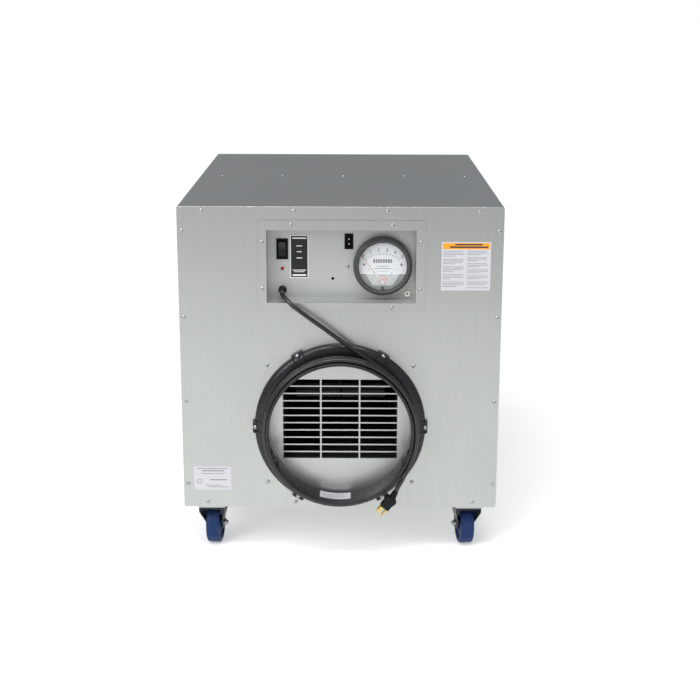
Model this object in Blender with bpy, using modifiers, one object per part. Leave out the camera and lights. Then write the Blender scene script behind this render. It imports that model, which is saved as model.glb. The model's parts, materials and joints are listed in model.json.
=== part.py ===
"""Portable air scrubber: a galvanised cabinet on casters, with a blower, filters, controls and a cord.

Metres, +Z up, the front faces -Y. The origin is on the floor, under the middle of the machine.
"""
import math

import bmesh
import bpy
import numpy as np
from mathutils import Matrix, Vector

# Driving dimensions.
CABINET_WIDTH = 0.660
CABINET_HEIGHT = 0.641
CABINET_DEPTH = 0.900
CASTER_HEIGHT = 0.102
SHEET = 0.0015
GAP = 0.0003  # clearance between pieces that touch
COLLAR_REACH = 0.066  # how far the duct collar stands out of the front panel
REAR_REACH = 0.018  # how far the filter latches stand out of the rear frame

HALF_WIDTH = CABINET_WIDTH / 2
BOTTOM = CASTER_HEIGHT
TOP = CASTER_HEIGHT + CABINET_HEIGHT
FRONT = (COLLAR_REACH - CABINET_DEPTH - REAR_REACH) / 2  # y of the front panel's outer face
FLOOR = BOTTOM + SHEET  # upper face of the base pan

# Control recess, measured down from the cabinet's top.
RECESS_X = 0.0017
RECESS_HALF_WIDTH = 0.1517
RECESS_TOP = TOP - 0.0474
RECESS_BOTTOM = TOP - 0.1975
RECESS_DEPTH = 0.045
TRIM_HALF_WIDTH = 0.1712
TRIM_TOP = TOP - 0.0273
TRIM_BOTTOM = TOP - 0.2136

# Duct collar.
COLLAR_Z = TOP - 0.4604
COLLAR_BORE = 0.146
COLLAR_TUBE = 0.150
COLLAR_BEAD = 0.1525  # around the lip
COLLAR_RIM = 0.178
COLLAR_TABS = 6
TAB_WIDTH = 0.025
TAB_REACH = 0.182
TAB_HEIGHT = 0.0135
COLLAR_STEPS = 60  # facets, which the cord's coil shares

# Outlet grille, punched through the front panel.
GRILLE_Z = TOP - 0.446
SLOT_COLUMNS = 3
SLOT_ROWS = 11
SLOT_WIDTH = 0.077
SLOT_HEIGHT = 0.0127
SLOT_PITCH_X = 0.0807
SLOT_PITCH_Z = 0.0159
GRILLE_HALF_WIDTH = (SLOT_PITCH_X * (SLOT_COLUMNS - 1) + SLOT_WIDTH) / 2
GRILLE_HALF_HEIGHT = (SLOT_PITCH_Z * (SLOT_ROWS - 1) + SLOT_HEIGHT) / 2

# Filters.
BULKHEAD = 0.459  # behind the front panel
HEPA_SIZE = 0.610
HEPA_DEPTH = 0.292
HEPA_START = 0.467
PREFILTER_SIZE = 0.593
FILTER_Z = FLOOR + GAP + HEPA_SIZE / 2
SLEEVE_INSIDE = 0.298
SLEEVE_START = 0.825

# Blower.
BLOWER_BEHIND = 0.220
SCROLL_START_RADIUS = 0.130
SCROLL_END_RADIUS = 0.1849
SCROLL_START = math.radians(186)
SCROLL_END = math.radians(-90)
BLOWER_Z = GRILLE_Z - GRILLE_HALF_HEIGHT + SCROLL_END_RADIUS
IMPELLER_RADIUS = 0.115
IMPELLER_HALF_WIDTH = 0.0995
SHAFT_RADIUS = 0.008

# Casters.
CASTER_X = HALF_WIDTH - 0.057
CASTER_INSET = 0.032  # swivel axis from the cabinet's front or rear face
WHEEL_RADIUS = 0.0435
WHEEL_HALF_WIDTH = 0.0142
TREAD_HALF_WIDTH = 0.0122
TRAIL = 0.030
CASTERS = {  # name: (side, behind the front panel, swivel angle in degrees)
    "front_left": (-1, CASTER_INSET, 175),
    "front_right": (1, CASTER_INSET, -173),
    "rear_left": (-1, CABINET_DEPTH - CASTER_INSET, -12),
    "rear_right": (1, CABINET_DEPTH - CASTER_INSET, 9),
}

# Power cord: it leaves the gland, lies on the collar's tube in a coil, and ends in a plug.
CORD_RADIUS = 0.0045
CORD_ROUTE = [  # x, behind the front panel, below the cabinet's top
    (-0.1200, 0.0230, 0.1795),
    (-0.1197, 0.0120, 0.1798),
    (-0.1165, -0.0010, 0.1832),
    (-0.1060, -0.0125, 0.1920),
    (-0.0896, -0.0190, 0.2050),
    (-0.0599, -0.0215, 0.2268),
    (-0.0340, -0.0220, 0.2452),
    (-0.0082, -0.0220, 0.2645),
    (0.0160, -0.0220, 0.2826),
    (0.0385, -0.0220, 0.2994),
]
COIL_RADIUS = COLLAR_TUBE + GAP + CORD_RADIUS
COIL_SPAN = (0.0178, 0.0570)  # of the coil, in front of the front panel
TAIL_START = math.radians(100)  # clockwise from the collar's top
TAIL_LEAVES = math.radians(117.5)
TAIL_RADIUS = 0.158  # the cord's last stretch rides over the bead on the collar's lip
TAIL_FRONT = 0.0618
TAIL_LENGTH = 0.0515
TAIL_TILT = TAIL_LEAVES - math.radians(90)
PLUG_FRONT = 0.0660
PLUG_TILT = math.radians(38)  # of the plug's body, which is bent a little from its strain relief

FACING_UP = (0, 0, 0)
FACING_FRONT = (math.radians(90), 0, 0)  # local X, Y, Z become +X, +Z, -Y
FACING_RIGHT = (math.radians(90), 0, math.radians(90))  # local X, Y, Z become +Y, +Z, +X
FACING_LEFT = (math.radians(90), 0, math.radians(-90))  # local X, Y, Z become -Y, +Z, -X


# ---------------------------------------------------------------- scene and materials

def new_collection(name):
    collection = bpy.data.collections.new(name)
    bpy.context.scene.collection.children.link(collection)
    return collection


for leftover in list(bpy.data.objects):
    bpy.data.objects.remove(leftover, do_unlink=True)
PARTS = new_collection("air_scrubber")
CUTTERS = new_collection("cutters")


def material(name, color, roughness, metallic=0.0):
    finish = bpy.data.materials.new(name)
    finish.use_nodes = True
    shader = finish.node_tree.nodes["Principled BSDF"]
    shader.inputs["Base Color"].default_value = (*color, 1)
    shader.inputs["Roughness"].default_value = roughness
    shader.inputs["Metallic"].default_value = metallic
    finish.diffuse_color = (*color, 1)
    return finish


GALVANISED = material("galvanised_steel", (0.56, 0.58, 0.57), 0.38, 0.9)
ZINC = material("zinc_plate", (0.66, 0.68, 0.70), 0.3, 1)
STEEL = material("machined_steel", (0.45, 0.46, 0.47), 0.3, 1)
BLACK_STEEL = material("black_steel", (0.03, 0.03, 0.032), 0.4, 0.3)
BLACK_PLASTIC = material("black_plastic", (0.018, 0.019, 0.022), 0.28)
BLACK_RUBBER = material("black_rubber", (0.015, 0.015, 0.016), 0.5)
RED_LENS = material("red_lens", (0.6, 0.03, 0.02), 0.2)
WHITE_PLASTIC = material("white_plastic", (0.8, 0.79, 0.75), 0.4)
GAUGE_GREY = material("gauge_grey", (0.09, 0.095, 0.09), 0.4, 0.4)
DIAL_WHITE = material("dial_white", (0.82, 0.83, 0.84), 0.5)
DIAL_RED = material("dial_red", (0.7, 0.08, 0.05), 0.5)
CLEAR = material("clear_lens", (0.9, 0.92, 0.93), 0.05)
BLUE_TYRE = material("blue_tyre", (0.02, 0.045, 0.16), 0.45)
FILTER_PAPER = material("filter_paper", (0.82, 0.81, 0.76), 0.9)
FIBRE = material("filter_fibre", (0.75, 0.78, 0.80), 0.95)
PARTICLE_BOARD = material("particle_board", (0.60, 0.47, 0.31), 0.8)


# ---------------------------------------------------------------- modelling helpers

def spot(x, below, behind):
    """Point at x, that far below the cabinet's top and behind its front face."""
    return Vector((x, FRONT + behind, TOP - below))


def place(name, data, finish, at=(0, 0, 0), facing=FACING_UP, parent=None):
    """Object in the parts collection, or among the cutters where it has no finish."""
    item = bpy.data.objects.new(name, data)
    item.location = at
    item.rotation_euler = facing
    item.parent = parent
    if finish is None:
        CUTTERS.objects.link(item)
        item.hide_render = True
        item.display_type = "WIRE"
    else:
        PARTS.objects.link(item)
        data.materials.append(finish)
    return item


def from_bmesh(name, shape, finish, at=(0, 0, 0), facing=FACING_UP, parent=None):
    mesh = bpy.data.meshes.new(name)
    shape.to_mesh(mesh)
    shape.free()
    return place(name, mesh, finish, at, facing, parent)


def add_cube(shape, x, y, z, turn=None):
    """Box over three ranges, turned by a matrix about the origin where one is given."""
    size = (x[1] - x[0], y[1] - y[0], z[1] - z[0], 1)
    centre = Vector(((x[0] + x[1]) / 2, (y[0] + y[1]) / 2, (z[0] + z[1]) / 2))
    matrix = (turn or Matrix()) @ Matrix.Translation(centre) @ Matrix.Diagonal(size)
    bmesh.ops.create_cube(shape, size=1, matrix=matrix)


def add_cylinder(shape, at, axis, radius, length, sides, end_radius=None):
    """Cylinder or cone that starts at a point and runs along an axis."""
    turn = Vector(axis).to_track_quat("Z", "Y").to_matrix().to_4x4()
    middle = Matrix.Translation(Vector(at) + Vector(axis) * length / 2)
    bmesh.ops.create_cone(shape, cap_ends=True, segments=sides, radius1=radius, depth=length,
                          radius2=radius if end_radius is None else end_radius, matrix=middle @ turn)


def block(name, x, y, z, finish=None, parent=None):
    """Box over three ranges, with its origin in its middle."""
    centre = [sum(ends) / 2 for ends in (x, y, z)]
    shape = bmesh.new()
    add_cube(shape, *[(low - middle, high - middle) for (low, high), middle in zip((x, y, z), centre)])
    return from_bmesh(name, shape, finish, centre, parent=parent)


def cylinder(name, at, axis, radius, length, finish=None, sides=24, parent=None):
    shape = bmesh.new()
    add_cylinder(shape, (0, 0, 0), axis, radius, length, sides)
    return from_bmesh(name, shape, finish, at, parent=parent)


def turned(name, profile, finish=None, at=(0, 0, 0), facing=FACING_UP, steps=32, ring=False, parent=None):
    """Turn (radius, height) points about local Z. The outer side of the profile runs downwards."""
    mesh = bpy.data.meshes.new(name)
    edges = [(number, number + 1) for number in range(len(profile) - 1)]
    if ring:
        edges.append((len(profile) - 1, 0))
    mesh.from_pydata([(radius, 0, height) for radius, height in profile], edges, [])
    item = place(name, mesh, finish, at, facing, parent)
    screw = item.modifiers.new("turn", "SCREW")
    screw.steps = steps
    screw.render_steps = steps
    screw.use_merge_vertices = True
    screw.merge_threshold = 0.00001
    return item


def welded(curve_object):
    """Make a curve object a mesh object, with its caps welded on."""
    bpy.context.view_layer.update()
    evaluated = curve_object.evaluated_get(bpy.context.evaluated_depsgraph_get())
    mesh = bpy.data.meshes.new_from_object(evaluated)
    shape = bmesh.new()
    shape.from_mesh(mesh)
    bmesh.ops.remove_doubles(shape, verts=shape.verts, dist=0.00001)
    shape.to_mesh(mesh)
    shape.free()
    name = curve_object.name
    finish = curve_object.data.materials[0] if curve_object.data.materials else None
    parent = curve_object.parent
    place_of_curve = (curve_object.location.copy(), curve_object.rotation_euler.copy())
    bpy.data.objects.remove(curve_object, do_unlink=True)
    mesh.materials.clear()
    return place(name, mesh, finish, *place_of_curve, parent)


def plate(name, loops, thickness, finish=None, at=(0, 0, 0), facing=FACING_UP, parent=None):
    """Flat outline with holes, extruded both ways from its own plane. The first loop is its edge."""
    curve = bpy.data.curves.new(name, "CURVE")
    curve.dimensions = "2D"
    curve.fill_mode = "BOTH"
    curve.extrude = thickness / 2
    for loop in loops:
        spline = curve.splines.new("POLY")
        spline.points.add(len(loop) - 1)
        for point, (across, up) in zip(spline.points, loop):
            point.co = (across, up, 0, 1)
        spline.use_cyclic_u = True
    return welded(place(name, curve, finish, at, facing, parent))


def tube(name, line, radius, finish):
    """Round wire or hose along a line of world points."""
    curve = bpy.data.curves.new(name, "CURVE")
    curve.dimensions = "3D"
    curve.bevel_depth = radius
    curve.bevel_resolution = 2
    curve.use_fill_caps = True
    spline = curve.splines.new("POLY")
    spline.points.add(len(line) - 1)
    for point, position in zip(spline.points, line):
        point.co = (*position, 1)
    return place(name, curve, finish)


def combine(target, tool, operation):
    """Boolean of a part with another object, which becomes a cutter."""
    step = target.modifiers.new(operation.lower(), "BOOLEAN")
    step.operation = operation
    step.solver = "EXACT"
    step.object = tool
    tool.hide_render = True
    tool.display_type = "WIRE"
    return target


def rectangle(half_width, low, high, corner=0.0, arc_steps=4):
    """Rectangle outline between two heights, with round corners where a radius is given."""
    corners = [(half_width, low), (half_width, high), (-half_width, high), (-half_width, low)]
    if corner == 0:
        return corners
    points = []
    for number, (across, up) in enumerate(corners):
        centre_x = across - math.copysign(corner, across)
        centre_z = up + corner if number in (0, 3) else up - corner
        for step in range(arc_steps + 1):
            angle = math.radians(90 * (number - 1) + 90 * step / arc_steps)
            points.append((centre_x + corner * math.cos(angle), centre_z + corner * math.sin(angle)))
    return points


def shifted(loop, across, up):
    return [(x + across, z + up) for x, z in loop]


def smooth_line(points, spacing):
    """Points along a Catmull-Rom curve through hand-chosen points, about evenly spaced."""
    knots = [Vector(point) for point in points]
    knots = [2 * knots[0] - knots[1], *knots, 2 * knots[-1] - knots[-2]]
    line = []
    for before, start, end, after in zip(knots, knots[1:], knots[2:], knots[3:]):
        pieces = max(1, round((end - start).length / spacing))
        for piece in range(pieces):
            t = piece / pieces
            line.append(0.5 * (2 * start + t * (end - before)
                               + t ** 2 * (2 * before - 5 * start + 4 * end - after)
                               + t ** 3 * (3 * start - before - 3 * end + after)))
    return [*line, knots[-2]]


# ---------------------------------------------------------------- cabinet

def wrapper():
    """Top and sides in one bent sheet, with an inward flange at the front and the rear."""
    bend = 0.003
    front, rear = SHEET + GAP, CABINET_DEPTH - SHEET - GAP

    def bent(inset, radius):
        side, top = HALF_WIDTH - inset, TOP - inset
        arc = [math.radians(90 * step / 4) for step in range(5)]
        right = [(side - radius * (1 - math.cos(a)), top - radius * (1 - math.sin(a))) for a in arc]
        return [(side, BOTTOM), *right, *[(-x, z) for x, z in reversed(right)], (-side, BOTTOM)]

    outline = bent(0, bend) + bent(SHEET, bend - SHEET)[::-1]
    middle = (0, FRONT + (front + rear) / 2, 0)
    sheet = plate("cabinet_wrapper", [outline], rear - front, GALVANISED, middle, FACING_FRONT)
    flange_width = 0.020
    flange = bent(SHEET / 2, bend / 2)
    flange += [(-HALF_WIDTH + flange_width, BOTTOM), (-HALF_WIDTH + flange_width, TOP - flange_width),
               (HALF_WIDTH - flange_width, TOP - flange_width), (HALF_WIDTH - flange_width, BOTTOM)]
    for name, behind in (("front_flange", front + SHEET / 2), ("rear_flange", rear - SHEET / 2)):
        part = plate(name, [flange], SHEET, None, (0, FRONT + behind, 0), FACING_FRONT)
        combine(sheet, part, "UNION")


def base_pan():
    """Tray inside the wrapper. Its rear lip is low, so that the prefilter sleeve passes over it."""
    side = HALF_WIDTH - SHEET - GAP
    lip, rear_lip = 0.030, 0.0045
    front, rear = 2 * (SHEET + GAP), CABINET_DEPTH - 2 * (SHEET + GAP)
    pan = block("base_pan", (-side, side), (FRONT + front, FRONT + rear), (BOTTOM, BOTTOM + lip), GALVANISED)
    inside = block("pan_inside", (SHEET - side, side - SHEET), (FRONT + front + SHEET, FRONT + rear - SHEET),
                   (FLOOR, TOP))
    over_lip = block("pan_rear_lip", (SHEET - side, side - SHEET),
                     (FRONT + SLEEVE_START, FRONT + CABINET_DEPTH), (FLOOR + rear_lip, TOP))
    combine(pan, inside, "DIFFERENCE")
    combine(pan, over_lip, "DIFFERENCE")


def front_panel():
    """Flat front sheet with the control opening and the punched outlet grille."""
    edge = rectangle(HALF_WIDTH, BOTTOM, TOP, corner=0.005)
    fit = SHEET + GAP
    opening = shifted(rectangle(RECESS_HALF_WIDTH + fit, RECESS_BOTTOM - fit, RECESS_TOP + fit), RECESS_X, 0)
    loops = [edge, opening]
    for column in range(SLOT_COLUMNS):
        for row in range(SLOT_ROWS):
            x = (column - (SLOT_COLUMNS - 1) / 2) * SLOT_PITCH_X
            z = GRILLE_Z + (row - (SLOT_ROWS - 1) / 2) * SLOT_PITCH_Z
            loops.append(shifted(rectangle(SLOT_WIDTH / 2, -SLOT_HEIGHT / 2, SLOT_HEIGHT / 2), x, z))
    plate("front_panel", loops, SHEET, GALVANISED, (0, FRONT + SHEET / 2, 0), FACING_FRONT)


# ---------------------------------------------------------------- control station

GAUGE_X, GAUGE_BELOW = 0.0866, 0.127
SPEED_X, SPEED_BELOW = -0.120, 0.094
ALARM_X, ALARM_BELOW = 0.017, 0.078
LAMP_BELOW = 0.135
GLAND_BELOW = CORD_ROUTE[0][2]
PORT_X, PORT_BELOW = 0.138, 0.187
GAUGE_CASE_RADIUS = 0.0553


def control_box():
    """Folded recess with an outward trim flange, and the holes that its controls need."""
    flange_front = FRONT - GAP - SHEET
    floor_back = RECESS_DEPTH + SHEET
    outside = RECESS_HALF_WIDTH + SHEET
    box = block("control_box", (RECESS_X - TRIM_HALF_WIDTH, RECESS_X + TRIM_HALF_WIDTH),
                (flange_front, FRONT - GAP), (TRIM_BOTTOM, TRIM_TOP), GALVANISED)
    walls = block("recess_walls", (RECESS_X - outside, RECESS_X + outside),
                  (FRONT - GAP - SHEET / 2, FRONT + floor_back), (RECESS_BOTTOM - SHEET, RECESS_TOP + SHEET))
    inside = block("recess_inside", (RECESS_X - RECESS_HALF_WIDTH, RECESS_X + RECESS_HALF_WIDTH),
                   (FRONT - RECESS_DEPTH, FRONT + RECESS_DEPTH), (RECESS_BOTTOM, RECESS_TOP))
    holes = bmesh.new()
    start = RECESS_DEPTH - 0.005
    length = 0.010
    for x, below, radius, sides in ((GAUGE_X, GAUGE_BELOW, GAUGE_CASE_RADIUS + 0.0006, 48),
                                    (SPEED_X, LAMP_BELOW, 0.0031, 12), (SPEED_X, GLAND_BELOW, 0.0073, 20),
                                    (PORT_X, PORT_BELOW, 0.0044, 12), (-0.016, 0.156, 0.0030, 12)):
        add_cylinder(holes, spot(x, below, start), (0, 1, 0), radius, length, sides)
    for x, below, half_width, half_height in ((SPEED_X, SPEED_BELOW, 0.0105, 0.0190),
                                              (ALARM_X, ALARM_BELOW, 0.0075, 0.0135)):
        add_cube(holes, (x - half_width, x + half_width), (FRONT + start, FRONT + start + length),
                 (TOP - below - half_height, TOP - below + half_height))
    combine(box, walls, "UNION")
    combine(box, inside, "DIFFERENCE")
    combine(box, from_bmesh("control_holes", holes, None), "DIFFERENCE")


def rocker_switch(name, x, below, bezel, body, well, rocker_length, rest_angle):
    """Housing and rocker. Sizes are (width, height); the rocker turns about X at its pivot."""
    panel = FRONT + RECESS_DEPTH
    bezel_front = panel - 0.0025
    z = TOP - below

    def centred(size, y, finish=None, part_name="switch_cutter"):
        half_width, half_height = size[0] / 2, size[1] / 2
        return block(part_name, (x - half_width, x + half_width), y,
                     (z - half_height, z + half_height), finish)

    housing = centred(bezel, (bezel_front, panel - GAP), BLACK_PLASTIC, name + "_housing")
    combine(housing, centred(body, (panel - 0.001, panel + 0.025)), "UNION")
    combine(housing, centred(well, (panel - 0.020, panel + 0.016)), "DIFFERENCE")
    half = rocker_length / 2
    crown = 0.0075  # from the pivot to the raised ends of the rocker
    profile = [(-half, crown), (-half, 0), (-0.004, -0.006), (0.004, -0.006), (half, 0), (half, crown),
               (half * 0.5, crown - 0.0016), (0, crown - 0.0024), (-half * 0.5, crown - 0.0016)]
    outline = [(-forward, up) for up, forward in profile]
    pivot = (x, bezel_front + 0.0040, z)
    rocker = plate(name + "_rocker", [outline], well[0] - 0.001, BLACK_PLASTIC, pivot, FACING_RIGHT)
    rocker.rotation_euler = (Matrix.Rotation(math.radians(rest_angle), 4, "X")
                             @ rocker.rotation_euler.to_matrix().to_4x4()).to_euler()


def gauge():
    """Differential pressure gauge: its case passes through the recess floor."""
    centre = spot(GAUGE_X, GAUGE_BELOW, RECESS_DEPTH)
    dial_front = 0.0053

    def gauge_turned(name, profile, finish, **options):
        return turned(name, profile, finish, centre, FACING_FRONT, steps=40, **options)

    case = GAUGE_CASE_RADIUS
    gauge_turned("gauge_case", [(0, 0.0040), (0.0538, 0.0040), (0.0538, 0.0130), (case, 0.0130),
                                (case, -0.0250), (0, -0.0250)], BLACK_PLASTIC)
    gauge_turned("gauge_bezel", [(0.0560, 0.0225), (0.0595, 0.0205), (0.0605, 0.0165), (0.0605, 0.0003),
                                 (0.0558, 0.0003), (0.0558, 0.0165), (0.0495, 0.0175), (0.0500, 0.0205),
                                 (0.0520, 0.0225)], GAUGE_GREY, ring=True)
    gauge_turned("gauge_lens", [(0, 0.0160), (0.0552, 0.0160), (0.0552, 0.0135), (0, 0.0135)], CLEAR)
    radius, chord = 0.0528, 0.018
    end = math.asin(chord / radius)
    sweep = math.pi + 2 * end
    arc = [(radius * math.cos(a), radius * math.sin(a)) for a in
           (-end + sweep * step / 28 for step in range(29))]
    dial = [*arc, (-0.0353, -chord), (-0.0204, -0.042), (0.0204, -0.042), (0.0353, -chord)]
    at = centre + Vector((0, -(dial_front - 0.0004), 0))
    plate("gauge_dial", [dial], 0.0008, DIAL_WHITE, at, FACING_FRONT)
    pointer_length, lean = 0.0665, math.radians(38.5)
    pivot = centre + Vector((0, -0.0088, -0.0355))
    half = 0.0005
    hub = [(0.003 * math.cos(a), 0.003 * math.sin(a)) for a in
           (math.radians(100 + 340 * step / 16) for step in range(17))]
    blade = [(half, pointer_length), (-half, pointer_length)]
    pointer = plate("gauge_pointer", [hub + blade], 0.0006, DIAL_RED, pivot, FACING_FRONT)
    pointer.rotation_euler = (Matrix.Rotation(-lean, 4, "Y")
                              @ pointer.rotation_euler.to_matrix().to_4x4()).to_euler()


def pressure_tubes():
    """Sensing hoses from the gauge's back to the pressure port and to the filter plenum."""
    gauge_back = RECESS_DEPTH + 0.025 + GAP
    port_back = RECESS_DEPTH + 0.012 + GAP
    straight = 0.012
    to_port = [spot(GAUGE_X + 0.020, 0.140, gauge_back), spot(GAUGE_X + 0.020, 0.140, gauge_back + straight),
               spot(GAUGE_X + 0.030, 0.152, gauge_back + 0.024), spot(0.132, 0.178, gauge_back + 0.020),
               spot(PORT_X, PORT_BELOW, port_back + straight), spot(PORT_X, PORT_BELOW, port_back)]
    to_plenum = [spot(GAUGE_X - 0.020, 0.110, gauge_back),
                 spot(GAUGE_X - 0.020, 0.110, gauge_back + straight),
                 spot(0.068, 0.075, 0.130), spot(0.080, 0.045, 0.200), spot(0.100, 0.028, 0.320),
                 spot(0.100, 0.028, 0.420), spot(0.100, 0.028, BULKHEAD - GAP)]
    tube("port_hose", smooth_line(to_port, 0.015), 0.003, CLEAR)
    tube("plenum_hose", smooth_line(to_plenum, 0.040), 0.003, CLEAR)


def control_station():
    control_box()
    rocker_switch("speed_switch", SPEED_X, SPEED_BELOW, bezel=(0.024, 0.043), body=(0.020, 0.037),
                  well=(0.0160, 0.0330), rocker_length=0.0300, rest_angle=0)
    rocker_switch("alarm_switch", ALARM_X, ALARM_BELOW, bezel=(0.018, 0.032), body=(0.014, 0.026),
                  well=(0.0115, 0.0240), rocker_length=0.0210, rest_angle=-8)
    gauge()
    panel = FRONT + RECESS_DEPTH
    label = shifted(rectangle(0.019, -0.045, 0.045, corner=0.003, arc_steps=3), -0.085, TOP - 0.110)
    plate("speed_label_plate", [label], 0.0008, BLACK_PLASTIC, (0, panel - GAP - 0.0004, 0), FACING_FRONT)
    turned("indicator_lamp", [(0, 0.0035), (0.0020, 0.0031), (0.0032, 0.0020), (0.0036, GAP), (0.0026, GAP),
                              (0.0026, -0.0140), (0, -0.0140)],
           RED_LENS, spot(SPEED_X, LAMP_BELOW, RECESS_DEPTH), FACING_FRONT, steps=16)
    mouth = RECESS_DEPTH - CORD_ROUTE[0][1] - GAP
    turned("cord_gland", [(0, mouth), (0.0056, mouth), (0.0061, 0.0140), (0.0070, 0.0060), (0.0085, 0.0052),
                          (0.0085, GAP), (0.0070, GAP), (0.0070, -0.0100), (0, -0.0100)],
           BLACK_RUBBER, spot(SPEED_X, GLAND_BELOW, RECESS_DEPTH), FACING_FRONT, steps=20)
    turned("pressure_port", [(0.0060, 0.0040), (0.0066, 0.0030), (0.0066, GAP), (0.0040, GAP),
                             (0.0040, -0.0120), (0.0020, -0.0120), (0.0020, 0.0040)],
           WHITE_PLASTIC, spot(PORT_X, PORT_BELOW, RECESS_DEPTH), FACING_FRONT, steps=16, ring=True)
    pressure_tubes()
    cover_front, cover_depth = RECESS_DEPTH + SHEET + GAP, 0.060
    cover_x, cover_z = (-0.1500, -0.0980), (RECESS_BOTTOM + 0.002, TOP - 0.062)
    cover_back = FRONT + cover_front + cover_depth
    cover = block("wiring_cover", cover_x, (FRONT + cover_front, cover_back), cover_z, GALVANISED)
    inside = block("wiring_space", (cover_x[0] + SHEET, cover_x[1] - SHEET), (FRONT, cover_back - SHEET),
                   (cover_z[0] + SHEET, cover_z[1] - SHEET))
    combine(cover, inside, "DIFFERENCE")


# ---------------------------------------------------------------- duct collar

def collar():
    """Flanged duct collar with six screw tabs and two locating lugs inside its lip."""
    at = (0, FRONT, COLLAR_Z)
    profile = [(0.1510, COLLAR_REACH), (COLLAR_BEAD, COLLAR_REACH - 0.0012),
               (COLLAR_BEAD, COLLAR_REACH - 0.0036), (COLLAR_TUBE, COLLAR_REACH - 0.0042),
               (COLLAR_TUBE, 0.0172), (0.1512, 0.0138), (0.1555, 0.0123), (0.1650, 0.0118),
               (0.1725, 0.0102), (0.1765, 0.0065), (COLLAR_RIM, 0.0025), (COLLAR_RIM, GAP),
               (COLLAR_BORE, GAP), (COLLAR_BORE, COLLAR_REACH - 0.0012), (0.1475, COLLAR_REACH)]
    body = turned("exhaust_collar", profile, BLACK_PLASTIC, at, FACING_FRONT, steps=COLLAR_STEPS, ring=True)
    extras = bmesh.new()
    for number in range(COLLAR_TABS):
        turn = Matrix.Rotation(2 * math.pi * number / COLLAR_TABS, 4, "Z")
        add_cube(extras, (0.1580, TAB_REACH), (-TAB_WIDTH / 2, TAB_WIDTH / 2), (GAP * 1.2, TAB_HEIGHT), turn)
    for angle in (-22.7, 180 + 22.7):
        turn = Matrix.Rotation(math.radians(angle), 4, "Z")
        add_cube(extras, (0.1350, COLLAR_BORE + 0.0015), (-0.004, 0.004), (0.0500, 0.0620), turn)
    combine(body, from_bmesh("collar_tabs", extras, None, at, FACING_FRONT), "UNION")


# ---------------------------------------------------------------- blower

def scroll(inset, overshoot):
    """Outline of the scroll and its outlet, as (behind the front panel, height) points."""
    steps = 26
    points = [(0.0025 - overshoot, GRILLE_Z + GRILLE_HALF_HEIGHT - inset)]
    for step in range(steps + 1):
        share = step / steps
        angle = SCROLL_START + (SCROLL_END - SCROLL_START) * share
        radius = SCROLL_START_RADIUS + (SCROLL_END_RADIUS - SCROLL_START_RADIUS) * share - inset
        points.append((BLOWER_BEHIND + radius * math.cos(angle), BLOWER_Z + radius * math.sin(angle)))
    return [*points, (0.0025 - overshoot, points[-1][1])]


def impeller():
    """Double-inlet squirrel-cage wheel: two end rings and a hub disc, joined by curved blades."""
    edge, hub_bore = IMPELLER_RADIUS, SHAFT_RADIUS + GAP
    half = IMPELLER_HALF_WIDTH
    centre = spot(0, TOP - BLOWER_Z, BLOWER_BEHIND)
    profile = [(edge, 0.0015), (edge, -0.0015), (0.018, -0.0015), (0.018, -0.020), (hub_bore, -0.020),
               (hub_bore, 0.020), (0.018, 0.020), (0.018, 0.0015)]
    wheel = turned("blower_wheel", profile, BLACK_STEEL, centre, FACING_RIGHT, steps=24, ring=True)
    for side in (-1, 1):
        low, high = sorted((side * half, side * (half - 0.003)))
        rim = turned("wheel_rim", [(edge, high), (edge, low), (0.097, low), (0.097, high)], None, centre,
                     FACING_RIGHT, steps=24, ring=True)
        combine(wheel, rim, "UNION")
    blades = bmesh.new()
    count = 18
    pitch = Matrix.Translation((0.1063, 0, 0)) @ Matrix.Rotation(math.radians(28), 4, "Z")
    for number in range(count):
        turn = Matrix.Rotation(2 * math.pi * number / count, 4, "Z") @ pitch
        add_cube(blades, (-0.0070, 0.0070), (-0.0008, 0.0008), (0.001 - half, half - 0.001), turn)
    combine(wheel, from_bmesh("wheel_blades", blades, None, centre, FACING_RIGHT), "UNION")


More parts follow.
